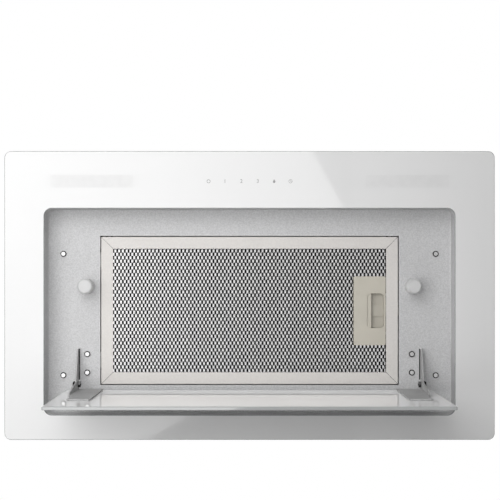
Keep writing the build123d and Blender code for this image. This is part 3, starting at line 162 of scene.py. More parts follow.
# --- Nodes of the finishes ------------------------------------------------------------
class Finish:
    """A material under construction. Even values go straight on the shader's sockets."""

    def __init__(self, name, colour, roughness, metallic=0.0, ior=1.5):
        self.material = bpy.data.materials.new(name)
        self.material.use_nodes = True
        self.nodes = self.material.node_tree.nodes
        self.links = self.material.node_tree.links
        self.shader = self.nodes["Principled BSDF"]
        self.shader.inputs["Base Color"].default_value = (*colour, 1)
        self.shader.inputs["Roughness"].default_value = roughness
        self.shader.inputs["Metallic"].default_value = metallic
        self.shader.inputs["IOR"].default_value = ior
        self.material.diffuse_color = (*colour, 1)
        self.colour = colour
        self.coordinates = self.nodes.new("ShaderNodeTexCoord")
        self.normal = None

    def place(self, stretch=(1, 1, 1)):
        """Object coordinates, stretched for a pattern."""
        mapping = self.nodes.new("ShaderNodeMapping")
        mapping.inputs["Scale"].default_value = stretch
        self.links.new(self.coordinates.outputs["Object"], mapping.inputs["Vector"])
        return mapping.outputs["Vector"]

    def noise(self, size, detail=3.0, stretch=(1, 1, 1), softness=0.5):
        """Cloudy noise whose blotches are about size metres wide."""
        noise = self.nodes.new("ShaderNodeTexNoise")
        noise.inputs["Scale"].default_value = 1 / size
        noise.inputs["Detail"].default_value = detail
        noise.inputs["Roughness"].default_value = softness
        self.links.new(self.place(stretch), noise.inputs["Vector"])
        return noise.outputs["Fac"]

    def cells(self, size, feature="F1", output="Distance"):
        """Cell pattern with cells about size metres wide."""
        cells = self.nodes.new("ShaderNodeTexVoronoi")
        cells.feature = feature
        cells.inputs["Scale"].default_value = 1 / size
        self.links.new(self.place(), cells.inputs["Vector"])
        return cells.outputs[output]

    def shades(self, value, dark, light, low=0.35, high=0.65):
        """Base colour runs between dark and light shares of the finish's colour."""
        ramp = self.nodes.new("ShaderNodeValToRGB")
        ramp.color_ramp.elements[0].position = low
        ramp.color_ramp.elements[1].position = high
        ramp.color_ramp.elements[0].color = (*(min(1, c * dark) for c in self.colour), 1)
        ramp.color_ramp.elements[1].color = (*(min(1, c * light) for c in self.colour), 1)
        self.links.new(value, ramp.inputs["Fac"])
        self.links.new(ramp.outputs["Color"], self.shader.inputs["Base Color"])
        return self

    def sheen_range(self, value, low, high):
        """Roughness runs from low to high with the value."""
        span = self.nodes.new("ShaderNodeMapRange")
        span.inputs["From Min"].default_value = NOISE_LOW
        span.inputs["From Max"].default_value = NOISE_HIGH
        span.inputs["To Min"].default_value = low
        span.inputs["To Max"].default_value = high
        self.links.new(value, span.inputs["Value"])
        self.links.new(span.outputs["Result"], self.shader.inputs["Roughness"])
        return self

    def along(self, output, axis):
        """One axis of the object's coordinates or of its normal."""
        parts = self.nodes.new("ShaderNodeSeparateXYZ")
        self.links.new(self.coordinates.outputs[output], parts.inputs["Vector"])
        return parts.outputs[axis]

    def reckon(self, operation, *values):
        """One calculation with sockets and plain numbers. A quotient is held within 0 and 1."""
        step = self.nodes.new("ShaderNodeMath")
        step.operation = operation
        step.use_clamp = operation == "DIVIDE"
        for place, value in enumerate(values):
            if isinstance(value, float):
                step.inputs[place].default_value = value
            else:
                self.links.new(value, step.inputs[place])
        return step.outputs["Value"]

    def tint(self, mask, colour):
        """Another colour over the present one, as far as the mask reaches."""
        mix = self.nodes.new("ShaderNodeMixRGB")
        self.links.new(mask, mix.inputs["Fac"])
        base = self.shader.inputs["Base Color"].links[0].from_socket
        self.links.new(base, mix.inputs["Color1"])
        mix.inputs["Color2"].default_value = (*colour, 1)
        self.links.new(mix.outputs["Color"], self.shader.inputs["Base Color"])
        return self

    def rim(self, colour, flat, axis="Z"):
        """Another colour on the faces whose normal lies along the axis by less than flat."""
        upright = self.reckon("ABSOLUTE", self.along("Normal", axis))
        return self.tint(self.reckon("LESS_THAN", upright, flat), colour)

    def painted_recess_shade(self, start, end, share):
        """Painted shade: colour that darkens inside a hollow, from height start to height end."""
        rise = self.reckon("SUBTRACT", self.along("Object", "Z"), start)
        return self.tint(self.reckon("DIVIDE", rise, end - start),
                         tuple(c * share for c in self.colour))

    def mitres(self, low, high, width, share):
        """Darker seams on the diagonals of a rectangular frame's four corners."""
        across = self.reckon("ABSOLUTE", self.reckon(
            "SUBTRACT", self.along("Object", "X"), (low.x + high.x) / 2))
        deep = self.reckon("ABSOLUTE", self.reckon(
            "SUBTRACT", self.along("Object", "Y"), (low.y + high.y) / 2))
        offset = ((high.x - low.x) - (high.y - low.y)) / 2
        away = self.reckon("ABSOLUTE", self.reckon(
            "SUBTRACT", self.reckon("SUBTRACT", across, deep), offset))
        return self.tint(self.reckon("LESS_THAN", away, width / 2),
                         tuple(c * share for c in self.colour))

    def relief(self, value, depth, strength):
        """Fine relief of about depth metres, on top of what relief there is."""
        bump = self.nodes.new("ShaderNodeBump")
        bump.inputs["Strength"].default_value = strength
        bump.inputs["Distance"].default_value = depth
        self.links.new(value, bump.inputs["Height"])
        if self.normal:
            self.links.new(self.normal, bump.inputs["Normal"])
        self.normal = bump.outputs["Normal"]
        self.links.new(self.normal, self.shader.inputs["Normal"])
        return self


def polished_glass(name, colour, axis="Z"):
    """Back-painted glass: an even colour under clear gloss, with a greyer polished edge."""
    edge_colour = (0.34, 0.35, 0.35)
    finish = Finish(name, colour, roughness=0.03, ior=1.52)
    finish.shades(finish.noise(180 * MM, detail=1), dark=0.992, light=1.0)
    finish.rim(edge_colour, flat=0.93, axis=axis)
    return finish.sheen_range(finish.noise(60 * MM, detail=2), low=0.03, high=0.06)


def powder_coat(name, colour, grain=1.6 * MM, depth=0.03 * MM):
    """Fine-textured paint on sheet steel, speckled a little lighter and darker."""
    finish = Finish(name, colour, roughness=0.5)
    speckle = finish.noise(grain, detail=4, softness=0.65)
    finish.shades(speckle, dark=0.86, light=1.12)
    finish.sheen_range(finish.noise(14 * MM), low=0.44, high=0.58)
    finish.relief(finish.noise(70 * MM, detail=1), depth=0.05 * MM, strength=0.4)
    return finish.relief(speckle, depth, strength=0.6)


def satin_paint(name, colour, along):
    """Thin satin lacquer over rolled metal, with the roll's faint lines under it."""
    finish = Finish(name, colour, roughness=0.38)
    lines = finish.noise(2.2 * MM, detail=3, stretch=along)
    finish.shades(lines, dark=0.965, light=1.02)
    finish.sheen_range(finish.noise(25 * MM), low=0.34, high=0.44)
    return finish.relief(lines, depth=0.008 * MM, strength=0.5)


def rolled_metal(name, colour, roughness, along):
    """Bare metal with drawn lines and slightly uneven shine."""
    finish = Finish(name, colour, roughness, metallic=1.0)
    lines = finish.noise(1.1 * MM, detail=4, stretch=along)
    finish.shades(lines, dark=0.9, light=1.06)
    finish.sheen_range(finish.noise(7 * MM), low=roughness * 0.8, high=roughness * 1.25)
    return finish.relief(lines, depth=0.006 * MM, strength=0.5)


def spangled_zinc(name, colour):
    """Hot-dip galvanised sheet: frosty crystals of a few shades, and dull patches."""
    crystal = 7 * MM
    finish = Finish(name, colour, roughness=0.4, metallic=1.0)
    crystals = finish.cells(crystal, output="Color")
    finish.shades(crystals, dark=0.92, light=1.05, low=0.1, high=0.9)
    finish.sheen_range(crystals, low=0.38, high=0.46)
    finish.relief(finish.noise(90 * MM, detail=1), depth=0.12 * MM, strength=0.35)
    seams = finish.cells(crystal, feature="DISTANCE_TO_EDGE")
    return finish.relief(seams, depth=0.01 * MM, strength=0.3)


def moulded_plastic(name, colour, roughness):
    """Moulded plastic with a fine spark-eroded grain."""
    finish = Finish(name, colour, roughness)
    grain = finish.noise(0.7 * MM, detail=2)
    finish.shades(finish.noise(22 * MM, detail=2), dark=0.97, light=1.02)
    finish.sheen_range(finish.noise(9 * MM), low=roughness * 0.9, high=roughness * 1.12)
    return finish.relief(grain, depth=0.015 * MM, strength=0.55)


def soft_rubber(name, colour, pore):
    """Rubber or foam, with open pores."""
    finish = Finish(name, colour, roughness=0.85)
    pores = finish.cells(pore)
    finish.shades(pores, dark=0.7, light=1.25, low=0.1, high=0.6)
    finish.sheen_range(pores, low=0.75, high=0.95)
    return finish.relief(pores, depth=0.12 * MM, strength=0.6)


def solder_mask(name, colour):
    """Circuit board: lacquered tracks a shade lighter than the board."""
    finish = Finish(name, colour, roughness=0.35)
    tracks = finish.cells(3.5 * MM, feature="DISTANCE_TO_EDGE")
    finish.shades(tracks, dark=1.7, light=0.95, low=0.05, high=0.08)
    finish.sheen_range(finish.noise(5 * MM), low=0.3, high=0.42)
    return finish.relief(tracks, depth=0.03 * MM, strength=0.4)


def pressed_laminations(name, colour):
    """Stack of thin iron sheets on the fan's axis, with varnish between them."""
    finish = Finish(name, colour, roughness=0.55, metallic=0.7)
    sheets = finish.noise(0.9 * MM, detail=1, stretch=(1, 0.02, 0.02))
    finish.shades(sheets, dark=0.55, light=1.2)
    finish.sheen_range(finish.noise(6 * MM), low=0.5, high=0.7)
    return finish.relief(sheets, depth=0.08 * MM, strength=0.7)


def crumpled_foil(name, colour):
    """Inner layers of the filter: crossing strands of thin metal, coloured near black as painted
    shade deep inside the pack.
    """
    finish = Finish(name, colour, roughness=0.7)
    finish.shader.inputs["Specular IOR Level"].default_value = 0.2
    strands = finish.cells(3.4 * MM, feature="DISTANCE_TO_EDGE")
    finish.shades(strands, dark=1.6, light=0.35, low=0.04, high=0.16)
    finish.sheen_range(finish.noise(4 * MM), low=0.6, high=0.8)
    finish.relief(finish.noise(2.6 * MM, detail=3), depth=0.5 * MM, strength=0.8)
    return finish.relief(strands, depth=0.25 * MM, strength=0.8)


def coat(finish, slot):
    """Puts a finish on every part whose slot in the record has that name."""
    worn = 0
    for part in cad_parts.values():
        for place, old in enumerate(part.data.materials):
            if old and old.name.split(".")[0] == slot:
                part.data.materials[place] = finish.material
                worn += 1
    if not worn:
        raise RuntimeError(f"no part has the slot {slot}")


# --- Modelling helpers ----------------------------------------------------------------
def start_fresh():
    """Object mode with nothing selected, so that a primitive is edited alone."""
    if bpy.context.object and bpy.context.object.mode != "OBJECT":
        bpy.ops.object.mode_set(mode="OBJECT")
    bpy.ops.object.select_all(action="DESELECT")


def flat_plate(width, depth, centre):
    """A rectangle, left in edit mode and with its place in its mesh."""
    start_fresh()
    bpy.ops.mesh.primitive_plane_add(size=1, location=(0, 0, 0))
    bpy.ops.object.mode_set(mode="EDIT")
    bpy.ops.transform.resize(value=(width, depth, 1), center_override=(0, 0, 0))
    bpy.ops.transform.translate(value=centre)
    return bpy.context.object


def select_points(piece, wanted):
    """Edit mode with those vertices selected for which wanted(position) is true."""
    bpy.ops.object.mode_set(mode="EDIT")
    bpy.ops.mesh.select_mode(type="VERT")
    bpy.ops.mesh.select_all(action="DESELECT")
    bpy.ops.object.mode_set(mode="OBJECT")
    for point in piece.data.vertices:
        point.select = bool(wanted(point.co))
    bpy.ops.object.mode_set(mode="EDIT")


def select_faces(piece, wanted):
    """Edit mode with those faces selected for which wanted(centre) is true."""
    bpy.ops.object.mode_set(mode="EDIT")
    bpy.ops.mesh.select_mode(type="FACE")
    bpy.ops.mesh.select_all(action="DESELECT")
    bpy.ops.object.mode_set(mode="OBJECT")
    for face in piece.data.polygons:
        face.select = bool(wanted(face.center))
    bpy.ops.object.mode_set(mode="EDIT")


def apply_modifier(piece, kind, **settings):
    """Adds a modifier, sets it and applies it."""
    start_fresh()
    piece.select_set(True)
    bpy.context.view_layer.objects.active = piece
    modifier = piece.modifiers.new(kind.title(), kind)
    for name, value in settings.items():
        setattr(modifier, name, value)
    bpy.ops.object.modifier_apply(modifier=modifier.name)


def settle(piece, name, material, body, slot, *replaced):
    """Names the finished piece, rests its place in its mesh, coats it and puts it on its body."""
    start_fresh()
    piece.select_set(True)
    bpy.context.view_layer.objects.active = piece
    bpy.ops.object.transform_apply(location=True, rotation=True, scale=True)
    piece.name = name
    piece.data.name = name
    piece.data.materials.clear()
    piece.data.materials.append(material)
    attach(piece, body)
    if replaced:
        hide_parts(*replaced)


def cut_edge(point, normal):
    """Cuts off the part of the active piece beyond a plane, on the side its normal points to."""
    bpy.ops.object.mode_set(mode="EDIT")
    bpy.ops.mesh.select_all(action="SELECT")
    bpy.ops.mesh.bisect(plane_co=point, plane_no=normal, clear_outer=True)
    bpy.ops.object.mode_set(mode="OBJECT")


def cut_window(piece, low, high, margin):
    """Cuts a rectangular window, from corner low to corner high, out of a sheet."""
    def near(centre):
        return (low.x - margin < centre.x < high.x + margin
                and low.y - margin < centre.y < high.y + margin)

    def inside(centre):
        return low.x < centre.x < high.x and low.y < centre.y < high.y

    for corner, normal in ((low, (1, 0, 0)), (low, (0, 1, 0)),
                           (high, (1, 0, 0)), (high, (0, 1, 0))):
        select_faces(piece, near)
        bpy.ops.mesh.bisect(plane_co=corner, plane_no=normal)
    select_faces(piece, inside)
    bpy.ops.mesh.delete(type="FACE")
    bpy.ops.object.mode_set(mode="OBJECT")


# --- Filter ---------------------------------------------------------------------------
def tub_window():
    """The filter handle's tub, which the lower mesh and the pack stand clear of."""
    low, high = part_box("filter_handle_plate")
    inset = 1.0 * MM
    return (Vector((low.x + inset, low.y + inset, 0)), Vector((high.x + inset, high.y - inset, 0)))


def sheet_height(settings, tilt):
    """Overall height of a sheet of expanded metal whose strands are turned by tilt."""
    return 2 * settings.strand_width * sin(tilt) + settings.strand_sheet


def expanded_sheet(settings, tilt, low, high, middle_z, window=None):
    """Expanded metal between two corners: turned strands that run along Y and part round
    each opening, joined to the next strand on one side and then on the other.
    """
    half_width = settings.strand_width / 2 * cos(tilt)
    half_rise = settings.strand_width / 2 * sin(tilt)
    strand_pitch = settings.opening_pitch / 2
    sway = strand_pitch / 2 - half_width
    slant_length = settings.row_pitch / 2 - settings.bond_length
    weld = 0.02 * MM
    # Columns and rows reach past the edges, where they are cut off.
    spare = 3
    columns = int((high.x - low.x) / settings.opening_pitch) + spare
    rows = int((high.y - low.y) / settings.row_pitch) + spare
    start = Vector((low.x - settings.opening_pitch + sway, low.y - settings.row_pitch,
                    middle_z - half_rise))
    shoulder = Vector((2 * half_width * settings.shoulder_place, 0,
                       2 * half_rise * settings.shoulder_rise))
    sheet = flat_plate(shoulder.x, settings.bond_length,
                       start + Vector((shoulder.x / 2 - half_width, 0, -half_rise)))
    # The strand's left edge hangs lowest, so its broad face looks down to the right.
    select_points(sheet, lambda co: co.x > start.x - half_width + shoulder.x / 2)
    bpy.ops.transform.translate(value=(0, 0, shoulder.z))
    bpy.ops.mesh.extrude_region_move(TRANSFORM_OT_translate={
        "value": (2 * half_width - shoulder.x, 0, 2 * half_rise - shoulder.z)})
    end_y = start.y + settings.bond_length / 2
    slack = 0.1 * MM
    for step in ((-2 * sway, slant_length, 2 * half_rise), (0, settings.bond_length, 0),
                 (2 * sway, slant_length, -2 * half_rise)):
        select_points(sheet, lambda co: co.y > end_y - slack)
        bpy.ops.mesh.extrude_region_move(TRANSFORM_OT_translate={"value": step})
        end_y += step[1]
    # The next strand is the same one, half a row further on.
    bpy.ops.mesh.select_all(action="SELECT")
    bpy.ops.mesh.duplicate_move(
        TRANSFORM_OT_translate={"value": (strand_pitch, settings.row_pitch / 2, 0)})
    bpy.ops.object.mode_set(mode="OBJECT")
    apply_modifier(sheet, "ARRAY", count=rows, use_relative_offset=False,
                   use_constant_offset=True, use_merge_vertices=True, merge_threshold=weld,
                   constant_offset_displace=(0, settings.row_pitch, 0))
    apply_modifier(sheet, "ARRAY", count=columns, use_relative_offset=False,
                   use_constant_offset=True,
                   constant_offset_displace=(settings.opening_pitch, 0, 0))
    bpy.ops.object.mode_set(mode="EDIT")
    bpy.ops.mesh.select_all(action="SELECT")
    bpy.ops.mesh.remove_doubles(threshold=weld)
    bpy.ops.mesh.normals_make_consistent(inside=False)
    bpy.ops.object.mode_set(mode="OBJECT")
    for corner, normal in ((low, (-1, 0, 0)), (low, (0, -1, 0)),
                           (high, (1, 0, 0)), (high, (0, 1, 0))):
        cut_edge(corner, normal)
    if window:
        cut_window(sheet, *window, margin=settings.row_pitch)
    apply_modifier(sheet, "SOLIDIFY", thickness=settings.strand_sheet, offset=0)
    return sheet


class HOOD_OT_expand_mesh(bpy.types.Operator):
    """Makes the filter's two sheets of expanded metal, the lower one open round the handle"""

    bl_idname = "hood.expand_mesh"
    bl_label = "Expand the Filter Mesh"

    def execute(self, context):
        settings = context.scene.hood_filter
        strand = rolled_metal("bright_strand", (0.94, 0.94, 0.94), roughness=0.24,
                              along=(6, 1, 6))
        low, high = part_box("filter_mesh_lower")
        half_height = sheet_height(settings, settings.strand_tilt) / 2
        lower = expanded_sheet(settings, settings.strand_tilt, low, high, low.z + half_height,
                               tub_window())
        settle(lower, "mesh_sheet_lower", strand.material, "filter", "filter_mesh",
               "filter_mesh_lower")
        low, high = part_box("filter_mesh_upper")
        half_height = sheet_height(settings, settings.rolled_tilt) / 2
        upper = expanded_sheet(settings, settings.rolled_tilt, low, high, high.z - half_height)
        settle(upper, "mesh_sheet_upper", strand.material, "filter", "filter_mesh",
               "filter_mesh_upper")
        return {"FINISHED"}


class HOOD_OT_fill_pack(bpy.types.Operator):
    """Makes the crumpled pack of fine mesh layers between the two sheets"""

    bl_idname = "hood.fill_pack"
    bl_label = "Fill the Mesh Pack"

    def execute(self, context):
        settings = context.scene.hood_filter
        low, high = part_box("filter_core")
        gap = 0.8 * MM
        fold_depth, fold_size = 0.9 * MM, 7 * MM
        lower_height = sheet_height(settings, settings.strand_tilt)
        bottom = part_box("filter_mesh_lower")[0].z + lower_height + gap
        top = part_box("filter_mesh_upper")[0].z
        pack = flat_plate(high.x - low.x, high.y - low.y,
                          ((low.x + high.x) / 2, (low.y + high.y) / 2, bottom))
        bpy.ops.mesh.subdivide(number_cuts=60)
        bpy.ops.object.mode_set(mode="OBJECT")
        cut_window(pack, *tub_window(), margin=20 * MM)
        clouds = bpy.data.textures.new("pack_folds", "CLOUDS")
        clouds.noise_scale = fold_size
        apply_modifier(pack, "DISPLACE", texture=clouds, texture_coords="GLOBAL",
                       strength=fold_depth, mid_level=0.0)
        apply_modifier(pack, "SOLIDIFY", thickness=top - bottom - fold_depth, offset=1)
        # The pack's near-black colour is painted shade, seen through the mesh openings.
        foil = crumpled_foil("crumpled_foil", (0.01, 0.01, 0.01))
        settle(pack, "mesh_pack", foil.material, "filter", "mesh_pack", "filter_core")
        return {"FINISHED"}


class HOOD_OT_wind_spring(bpy.types.Operator):
    """Bends the latch's zigzag return spring, in one shape; the real spring closes up as the latch
    is drawn back
    """

    bl_idname = "hood.wind_spring"
    bl_label = "Bend the Latch Spring"

    def execute(self, context):
        runs = 7
        bend = 0.4 * MM
        pulled_in = 0.5 * MM
        weld = 0.01 * MM
        low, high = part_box("latch_spring")
        radius = (high.z - low.z) / 2
        # Each turn's bend pulls its tip in by pulled_in, so the runs start that much longer.
        half_width = (high.y - low.y) / 2 - radius + pulled_in
        pitch = (high.x - low.x - 2 * radius) / runs
        middle = (low + high) / 2
        start_fresh()
        bpy.ops.mesh.primitive_plane_add(size=1, location=(0, 0, 0))
        bpy.ops.object.mode_set(mode="EDIT")
        bpy.ops.mesh.select_mode(type="VERT")
        bpy.ops.mesh.select_all(action="SELECT")
        bpy.ops.mesh.merge(type="CENTER")
        bpy.ops.transform.translate(value=(low.x + radius, middle.y, middle.z))
        # Half a run out, a full run across for each turn, and half a run back to the middle.
        side = 1
        steps = [(pitch / 2, half_width, 0)]
        for _ in range(runs - 1):
            side = -side
            steps.append((pitch, 2 * side * half_width, 0))
        steps.append((pitch / 2, -side * half_width, 0))
        for step in steps:
            bpy.ops.mesh.extrude_region_move(TRANSFORM_OT_translate={"value": step})
        bpy.ops.mesh.select_all(action="SELECT")
        bpy.ops.mesh.bevel(affect="VERTICES", offset=bend, segments=3)
        bpy.ops.object.mode_set(mode="OBJECT")
        bpy.ops.object.convert(target="CURVE")
        wire = bpy.context.object.data
        wire.bevel_depth = radius
        wire.bevel_resolution = 2
        wire.use_fill_caps = True
        bpy.ops.object.convert(target="MESH")
        spring = bpy.context.object
        bpy.ops.object.mode_set(mode="EDIT")
        bpy.ops.mesh.select_all(action="SELECT")
        bpy.ops.mesh.remove_doubles(threshold=weld)
        bpy.ops.mesh.normals_make_consistent(inside=False)
        bpy.ops.object.mode_set(mode="OBJECT")
        steel = rolled_metal("return_spring_wire", (0.13, 0.13, 0.13), roughness=0.45,
                             along=(1, 6, 6))
        settle(spring, "return_spring", steel.material, "filter", "spring_steel", "latch_spring")
        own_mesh(spring)
        return {"FINISHED"}


# --- Printed marks and light windows --------------------------------------------------
def face_down(piece, x, y, z):
    """Turns a mark drawn in the XY plane to be read from below, and puts it in its place."""
    start_fresh()
    piece.select_set(True)
    bpy.context.view_layer.objects.active = piece
    piece.rotation_euler = (pi, 0, 0)
    piece.location = (x, y, z)
    bpy.ops.object.transform_apply(location=True, rotation=True, scale=True)


def ring_mark(radius, line, thickness):
    """A printed ring: a circle extruded inward and then given the ink's thickness."""
    start_fresh()
    bpy.ops.mesh.primitive_circle_add(vertices=40, radius=radius, fill_type="NOTHING")
    mark = bpy.context.object
    bpy.ops.object.mode_set(mode="EDIT")
    bpy.ops.mesh.select_all(action="SELECT")
    bpy.ops.mesh.extrude_edges_move(TRANSFORM_OT_translate={"value": (0, 0, 0)})
    bpy.ops.transform.resize(value=((radius - line) / radius,) * 3, center_override=(0, 0, 0))
    bpy.ops.object.mode_set(mode="OBJECT")
    apply_modifier(mark, "SOLIDIFY", thickness=thickness, offset=1)
    return mark


def number_mark(text, height, thickness):
    """A plain figure, as a mesh."""
    # A figure is as high as this share of its font's size.
    figure_share = 0.7
    start_fresh()
    bpy.ops.object.text_add(location=(0, 0, 0))
    mark = bpy.context.object
    mark.data.body = text
    mark.data.size = height / figure_share
    mark.data.align_x = "CENTER"
    mark.data.align_y = "CENTER"
    mark.data.extrude = thickness / 2
    bpy.ops.object.convert(target="MESH")
    mark = bpy.context.object
    mark.location.z = thickness / 2
    bpy.ops.object.transform_apply(location=True, rotation=True, scale=True)
    return mark


def lamp_mark(height, thickness):
    """A small lamp: a round bulb that is drawn out to a narrower neck."""
    bulb_radius = height * 0.34
    neck_length = height * 0.26
    neck_share = 0.45
    neck_start = height * 0.12
    start_fresh()
    bpy.ops.mesh.primitive_circle_add(vertices=24, radius=bulb_radius, fill_type="NGON")
    mark = bpy.context.object
    bpy.ops.object.mode_set(mode="EDIT")
    bpy.ops.transform.translate(value=(0, -neck_start, 0))
    select_points(mark, lambda co: co.y > neck_start)
    bpy.ops.transform.resize(value=(neck_share, 1, 1), center_override=(0, 0, 0))
    bpy.ops.transform.translate(value=(0, neck_length, 0))
    bpy.ops.object.mode_set(mode="OBJECT")
    apply_modifier(mark, "SOLIDIFY", thickness=thickness, offset=1)
    return mark


def clock_mark(radius, line, thickness):
    """A timer: a ring with a clock's two hands, joined into one mark."""
    hand_length, hand_width, hand_offset = radius * 0.62, line * 0.6, radius * 0.25
    hand_angles = (90, -20)
    ring = ring_mark(radius, line * 0.7, thickness)
    hands = []
    for angle in hand_angles:
        hand = flat_plate(hand_length, hand_width, (hand_offset, 0, 0))
        bpy.ops.object.mode_set(mode="OBJECT")
        hand.rotation_euler = (0, 0, radians(angle))
        bpy.ops.object.transform_apply(location=True, rotation=True, scale=True)
        apply_modifier(hand, "SOLIDIFY", thickness=thickness, offset=1)
        hands.append(hand)
    start_fresh()
    for piece in (ring, *hands):
        piece.select_set(True)
    bpy.context.view_layer.objects.active = ring
    bpy.ops.object.join()
    return ring


class HOOD_OT_print_keys(bpy.types.Operator):
    """Prints the marks of the six touch keys on the glass: off, 1, 2, 3, lamp and timer"""

    bl_idname = "hood.print_keys"
    bl_label = "Print the Touch Keys"

    def execute(self, context):
        settings = context.scene.hood_print
        height, line, ink = settings.mark_height, settings.line_width, settings.ink_thickness
        low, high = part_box("touch_pads")
        row_y = (low.y + high.y) / 2
        glass_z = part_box("face_glass")[0].z
        marks = (
            ("key_off", ring_mark(height / 2, line, ink)),
            ("key_speed_1", number_mark("1", height, ink)),
            ("key_speed_2", number_mark("2", height, ink)),
            ("key_speed_3", number_mark("3", height, ink)),
            ("key_lamp", lamp_mark(height, ink)),
            ("key_timer", clock_mark(height / 2, line, ink)),
        )
        finish = Finish("grey_ink", settings.ink_colour, roughness=0.45)
        finish.shades(finish.noise(0.8 * MM), dark=0.94, light=1.06)
        finish.relief(finish.noise(0.3 * MM), depth=0.004 * MM, strength=0.4)
        for place, (name, mark) in enumerate(marks):
            x = (place - (len(marks) - 1) / 2) * settings.key_pitch
            face_down(mark, x, row_y, glass_z)
            settle(mark, name, finish.material, "hood", "pad_foam")
        return {"FINISHED"}


class HOOD_OT_fit_light_windows(bpy.types.Operator):
    """Fits the two frosted windows that the lamps shine through"""

    bl_idname = "hood.fit_light_windows"
    bl_label = "Fit the Light Windows"

    def execute(self, context):
        # The diffuser reaches past its window by lap on every side.
        lap = 1.5 * MM
        proud = 0.02 * MM
        depth = 0.3 * MM
        softened = 0.01 * MM
        glass_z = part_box("face_glass")[0].z
        finish = Finish("frosted_window", (0.74, 0.74, 0.74), roughness=0.32)
        finish.shades(finish.noise(9 * MM), dark=0.985, light=1.01)
        finish.relief(finish.noise(0.25 * MM), depth=0.004 * MM, strength=0.5)
        for side in ("left", "right"):
            low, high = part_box(f"light_diffuser_{side}")
            window = flat_plate(high.x - low.x - 2 * lap, high.y - low.y - 2 * lap,
                                ((low.x + high.x) / 2, (low.y + high.y) / 2, glass_z - proud))
            bpy.ops.mesh.extrude_region_move(TRANSFORM_OT_translate={"value": (0, 0, depth)})
            bpy.ops.mesh.select_all(action="SELECT")
            bpy.ops.mesh.normals_make_consistent(inside=False)
            bpy.ops.object.mode_set(mode="OBJECT")
            apply_modifier(window, "BEVEL", width=softened, segments=1)
            settle(window, f"light_window_{side}", finish.material, "hood", "diffuser")
        return {"FINISHED"}


# --- Finishes of the parts ------------------------------------------------------------
class HOOD_OT_finish_glass(bpy.types.Operator):
    """Finishes the white glass of the face and the suction panel, and the lamps' diffusers"""

    bl_idname = "hood.finish_glass"
    bl_label = "Finish the Glass"

    def execute(self, context):
        colour = context.scene.hood_finish.glass_colour
        coat(polished_glass("face_gloss", colour), "white_glass")
        # The panel is the same white glass as the face; its lighter colour is painted light.
        panel = polished_glass("panel_gloss", (0.96, 0.96, 0.96), axis="Y")
        panel.shader.inputs["Sheen Weight"].default_value = 0.6
        panel.shader.inputs["Sheen Roughness"].default_value = 0.4
        panel.shader.inputs["Coat Weight"].default_value = 1.0
        panel.shader.inputs["Coat Roughness"].default_value = 0.01
        panel.shader.inputs["Coat IOR"].default_value = 1.52
        coat(panel, "panel_white_glass")
        coat(moulded_plastic("opal_diffuser", (0.85, 0.85, 0.83), roughness=0.5), "diffuser")
        return {"FINISHED"}


class HOOD_OT_finish_sheet_metal(bpy.types.Operator):
    """Finishes the tray, the backing frame, the hinges and the blower's casing"""

    bl_idname = "hood.finish_sheet_metal"
    bl_label = "Finish the Sheet Metal"

    def execute(self, context):
        settings = context.scene.hood_finish
        coat(powder_coat("tray_powder_coat", settings.tray_colour), "tray_grey")
        coat(powder_coat("frame_powder_coat", (0.70, 0.70, 0.70), grain=1.0 * MM), "frame_steel")
        coat(powder_coat("hinge_powder_coat", (0.42, 0.42, 0.42), grain=0.8 * MM,
                         depth=0.012 * MM), "hinge_steel")
        coat(spangled_zinc("casing_zinc", (0.62, 0.64, 0.66)), "galvanised")
        return {"FINISHED"}


class HOOD_OT_finish_fasteners(bpy.types.Operator):
    """Finishes the screws, nuts, pins, springs and magnets"""

    bl_idname = "hood.finish_fasteners"
    bl_label = "Finish the Fasteners"

    def execute(self, context):
        screws = rolled_metal("screw_nickel", (0.34, 0.34, 0.34), roughness=0.14, along=(3, 3, 1))
        # Near black on every screw face that isn't flat along Z is painted shade: the dark ring
        # and cross of each head.
        painted_rim_shade = (0.01, 0.01, 0.01)
        coat(screws.rim(painted_rim_shade, flat=0.995), "bright_screw")
        for name, colour, roughness, along, slot in (
                ("blackened_nut", (0.10, 0.10, 0.10), 0.35, (2, 2, 2), "dark_nut"),
                ("spring_wire", (0.13, 0.13, 0.13), 0.45, (1, 6, 6), "spring_steel"),
                ("bearing_race", (0.70, 0.70, 0.72), 0.12, (1, 9, 9), "bearing_steel")):
            coat(rolled_metal(name, colour, roughness, along), slot)
        coat(moulded_plastic("magnet_enamel", (0.64, 0.64, 0.64), roughness=0.5), "magnet")
        return {"FINISHED"}


class HOOD_OT_finish_filter(bpy.types.Operator):
    """Finishes the grease filter's rails, handle and latch"""

    bl_idname = "hood.finish_filter"
    bl_label = "Finish the Filter"

    def execute(self, context):
        settings = context.scene.hood_finish
        rails = satin_paint("rail_lacquer", settings.filter_colour, along=(1, 1, 6))
        left, front, right, rear = [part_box(f"filter_rail_{side}")
                                    for side in ("left", "front", "right", "rear")]
        low = Vector((left[0].x, front[0].y))
        high = Vector((right[1].x, rear[1].y))
        coat(rails.mitres(low, high, width=0.8 * MM, share=0.35), "filter_frame")
        handle = moulded_plastic("handle_plastic", settings.handle_colour, roughness=0.42)
        # The handle's pocket gets darker with depth inside it: painted shade.
        coat(handle.painted_recess_shade(start=0.4 * MM, end=3.5 * MM, share=0.80), "handle_beige")
        return {"FINISHED"}


